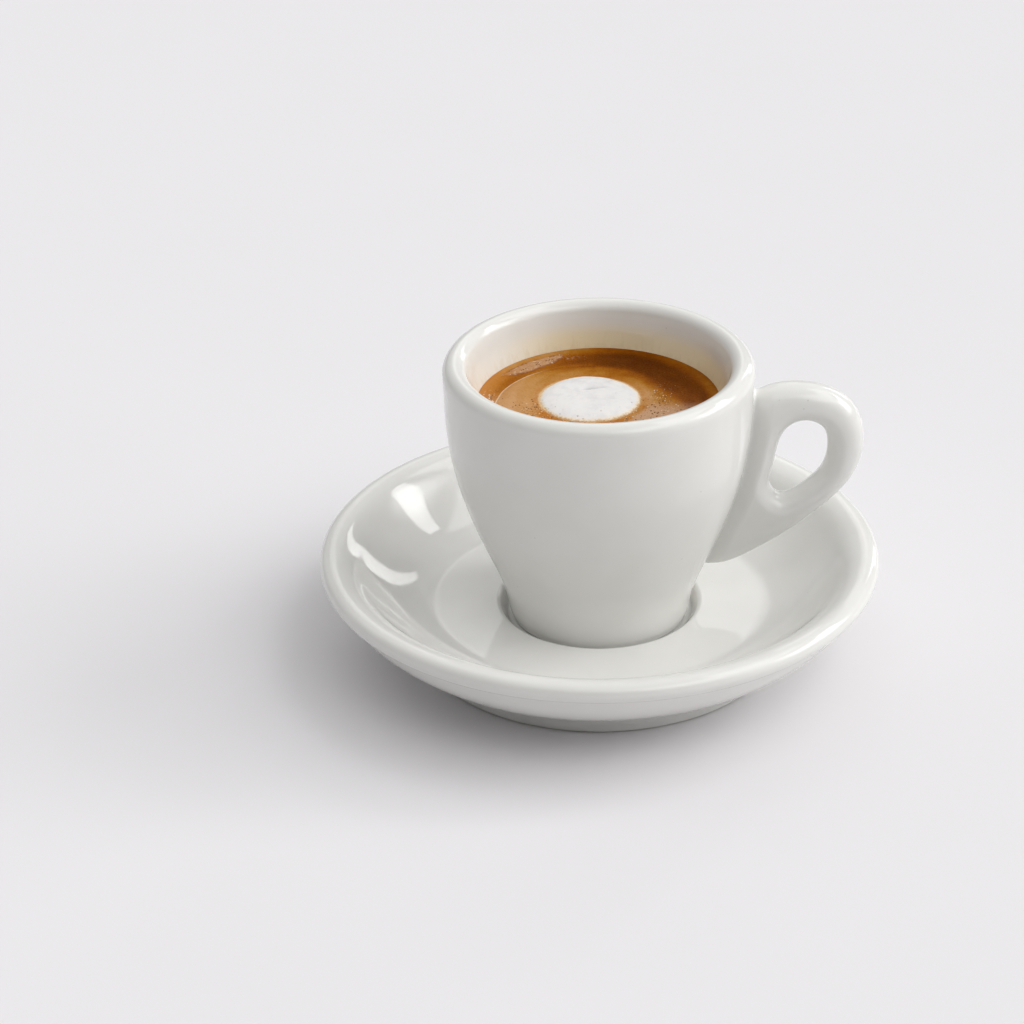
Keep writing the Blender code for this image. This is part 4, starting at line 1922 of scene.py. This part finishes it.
@dataclass
class Studio:
    """Pale board, soft panels, even surroundings and the camera."""

    even: float = 0.158
    backdrop: Colour = (0.83, 0.80, 0.83)
    board_size: float = 6.0
    tilt: float = 28.09
    roll: float = -0.87
    lens: float = 129.13
    sensor: float = 36.0
    distance: float = 0.800
    aside: float = 0.0190
    below: float = -0.02773
    panels: tuple[Panel, ...] = (
        Panel("key", 27.5, 37.6, 11.5, 4.3, 4.9, turn=36.0, blur=0.07, taper=0.46),
        Panel("bar", 60.2, 17.0, 13.5, 3.1, 3.1, turn=70.0, blur=0.12, taper=0.35),
        Panel("high", 22.0, 60.0, 16.0, 10.0, 1.9, blur=0.12),
        Panel("right", 7.0, 27.0, 17.0, 13.0, 4.0, blur=0.40),
        Panel("right_front", -20.0, 20.0, 14.0, 12.0, 1.35, blur=0.6),
        Panel("front_right", -38.0, 50.0, 24.0, 14.0, 2.3, blur=0.5),
        Panel("front_high", -97.0, 58.0, 18.0, 11.0, 0.52, blur=0.6),
        Panel("back_spot", 91.0, 29.0, 6.0, 7.0, 0.95, blur=0.5),
        Panel("back_side", 78.0, 31.0, 9.0, 6.0, 0.6, blur=0.5),
        Panel("back_low", 113.0, 18.0, 14.0, 14.0, 0.4, blur=0.8),
        Panel("back_high", 105.0, 50.0, 30.0, 12.0, 0.7, blur=0.8),
        Panel("left", 165.0, 25.0, 34.0, 22.0, 0.18, blur=0.8),
        Panel("overhead", 180.0, 78.0, 34.0, 34.0, 0.58, blur=0.8),
    )

    def build_board(self) -> bpy.types.Object:
        """Lay the pale board, a hair under the foot.

        Returns:
            The board.
        """
        half = self.board_size / 2.0
        mesh = bpy.data.meshes.new("board")
        corners = [(-half, -half), (half, -half), (half, half), (-half, half)]
        mesh.from_pydata([(x, y, -0.00005) for x, y in corners], [], [(0, 1, 2, 3)])
        mesh.materials.append(TableTop().material())
        board = bpy.data.objects.new("board", mesh)
        bpy.context.scene.collection.objects.link(board)
        return board

    def build_surround(self) -> None:
        """Set the light that comes from all sides: an even part and every panel.

        The camera sees a plain backdrop instead, of the board's own brightness.
        """
        world = bpy.data.worlds.new("studio")
        world.use_nodes = True
        bench = Bench(world.node_tree, "Generated")
        light = world.node_tree.nodes["Background"]
        bench.wire((1.0, 1.0, 1.0), light.inputs["Color"])
        light.inputs["Strength"].default_value = self.even
        light = light.outputs[0]
        for panel in self.panels:
            both = bench.node("ShaderNodeAddShader")
            bench.wire(light, both.inputs[0])
            bench.wire(panel.light(bench), both.inputs[1])
            light = both.outputs[0]
        plain = bench.node("ShaderNodeBackground")
        bench.wire(self.backdrop, plain.inputs["Color"])
        seen = bench.node("ShaderNodeMixShader")
        bench.wire(bench.node("ShaderNodeLightPath").outputs["Is Camera Ray"], seen.inputs[0])
        bench.wire(light, seen.inputs[1])
        bench.wire(plain.outputs[0], seen.inputs[2])
        bench.wire(seen.outputs[0], world.node_tree.nodes["World Output"].inputs["Surface"])
        bpy.context.scene.world = world

    def build_camera(self) -> bpy.types.Object:
        """Set the camera, looking down by `tilt`, with the origin off its axis.

        Returns:
            The camera's object.
        """
        tilt, roll = math.radians(self.tilt), math.radians(self.roll)
        ahead = Vector((0.0, math.cos(tilt), -math.sin(tilt)))
        level = Vector((1.0, 0.0, 0.0))
        upward = Vector((0.0, math.sin(tilt), math.cos(tilt)))
        right = level * math.cos(roll) + upward * math.sin(roll)
        up = upward * math.cos(roll) - level * math.sin(roll)
        place = -(right * self.aside + up * self.below + ahead * self.distance)
        camera = bpy.data.cameras.new("camera")
        camera.lens = self.lens
        camera.sensor_width = self.sensor
        camera.clip_start = 0.01
        camera.clip_end = 50.0
        seat = bpy.data.objects.new("camera", camera)
        seat.matrix_world = Matrix((
            (right.x, up.x, -ahead.x, place.x),
            (right.y, up.y, -ahead.y, place.y),
            (right.z, up.z, -ahead.z, place.z),
            (0.0, 0.0, 0.0, 1.0)))
        bpy.context.scene.collection.objects.link(seat)
        bpy.context.scene.camera = seat
        return seat

    def build(self) -> None:
        """Make the whole studio."""
        self.build_camera()
        self.build_board()
        self.build_surround()
        bpy.context.scene.view_settings.view_transform = "Standard"
        log.info("studio: %d panels", len(self.panels))


def main() -> None:
    """Build the studio and every piece."""
    logging.basicConfig(level=logging.INFO, format="%(name)s: %(message)s")
    Studio().build()
    Saucer().build()
    cup = Cup()
    cup.build()
    drink = Drink()
    drink.build(cup)
    MilkFoam().build()
    Bubbles(drink).build()


if __name__ == "__main__":
    main()
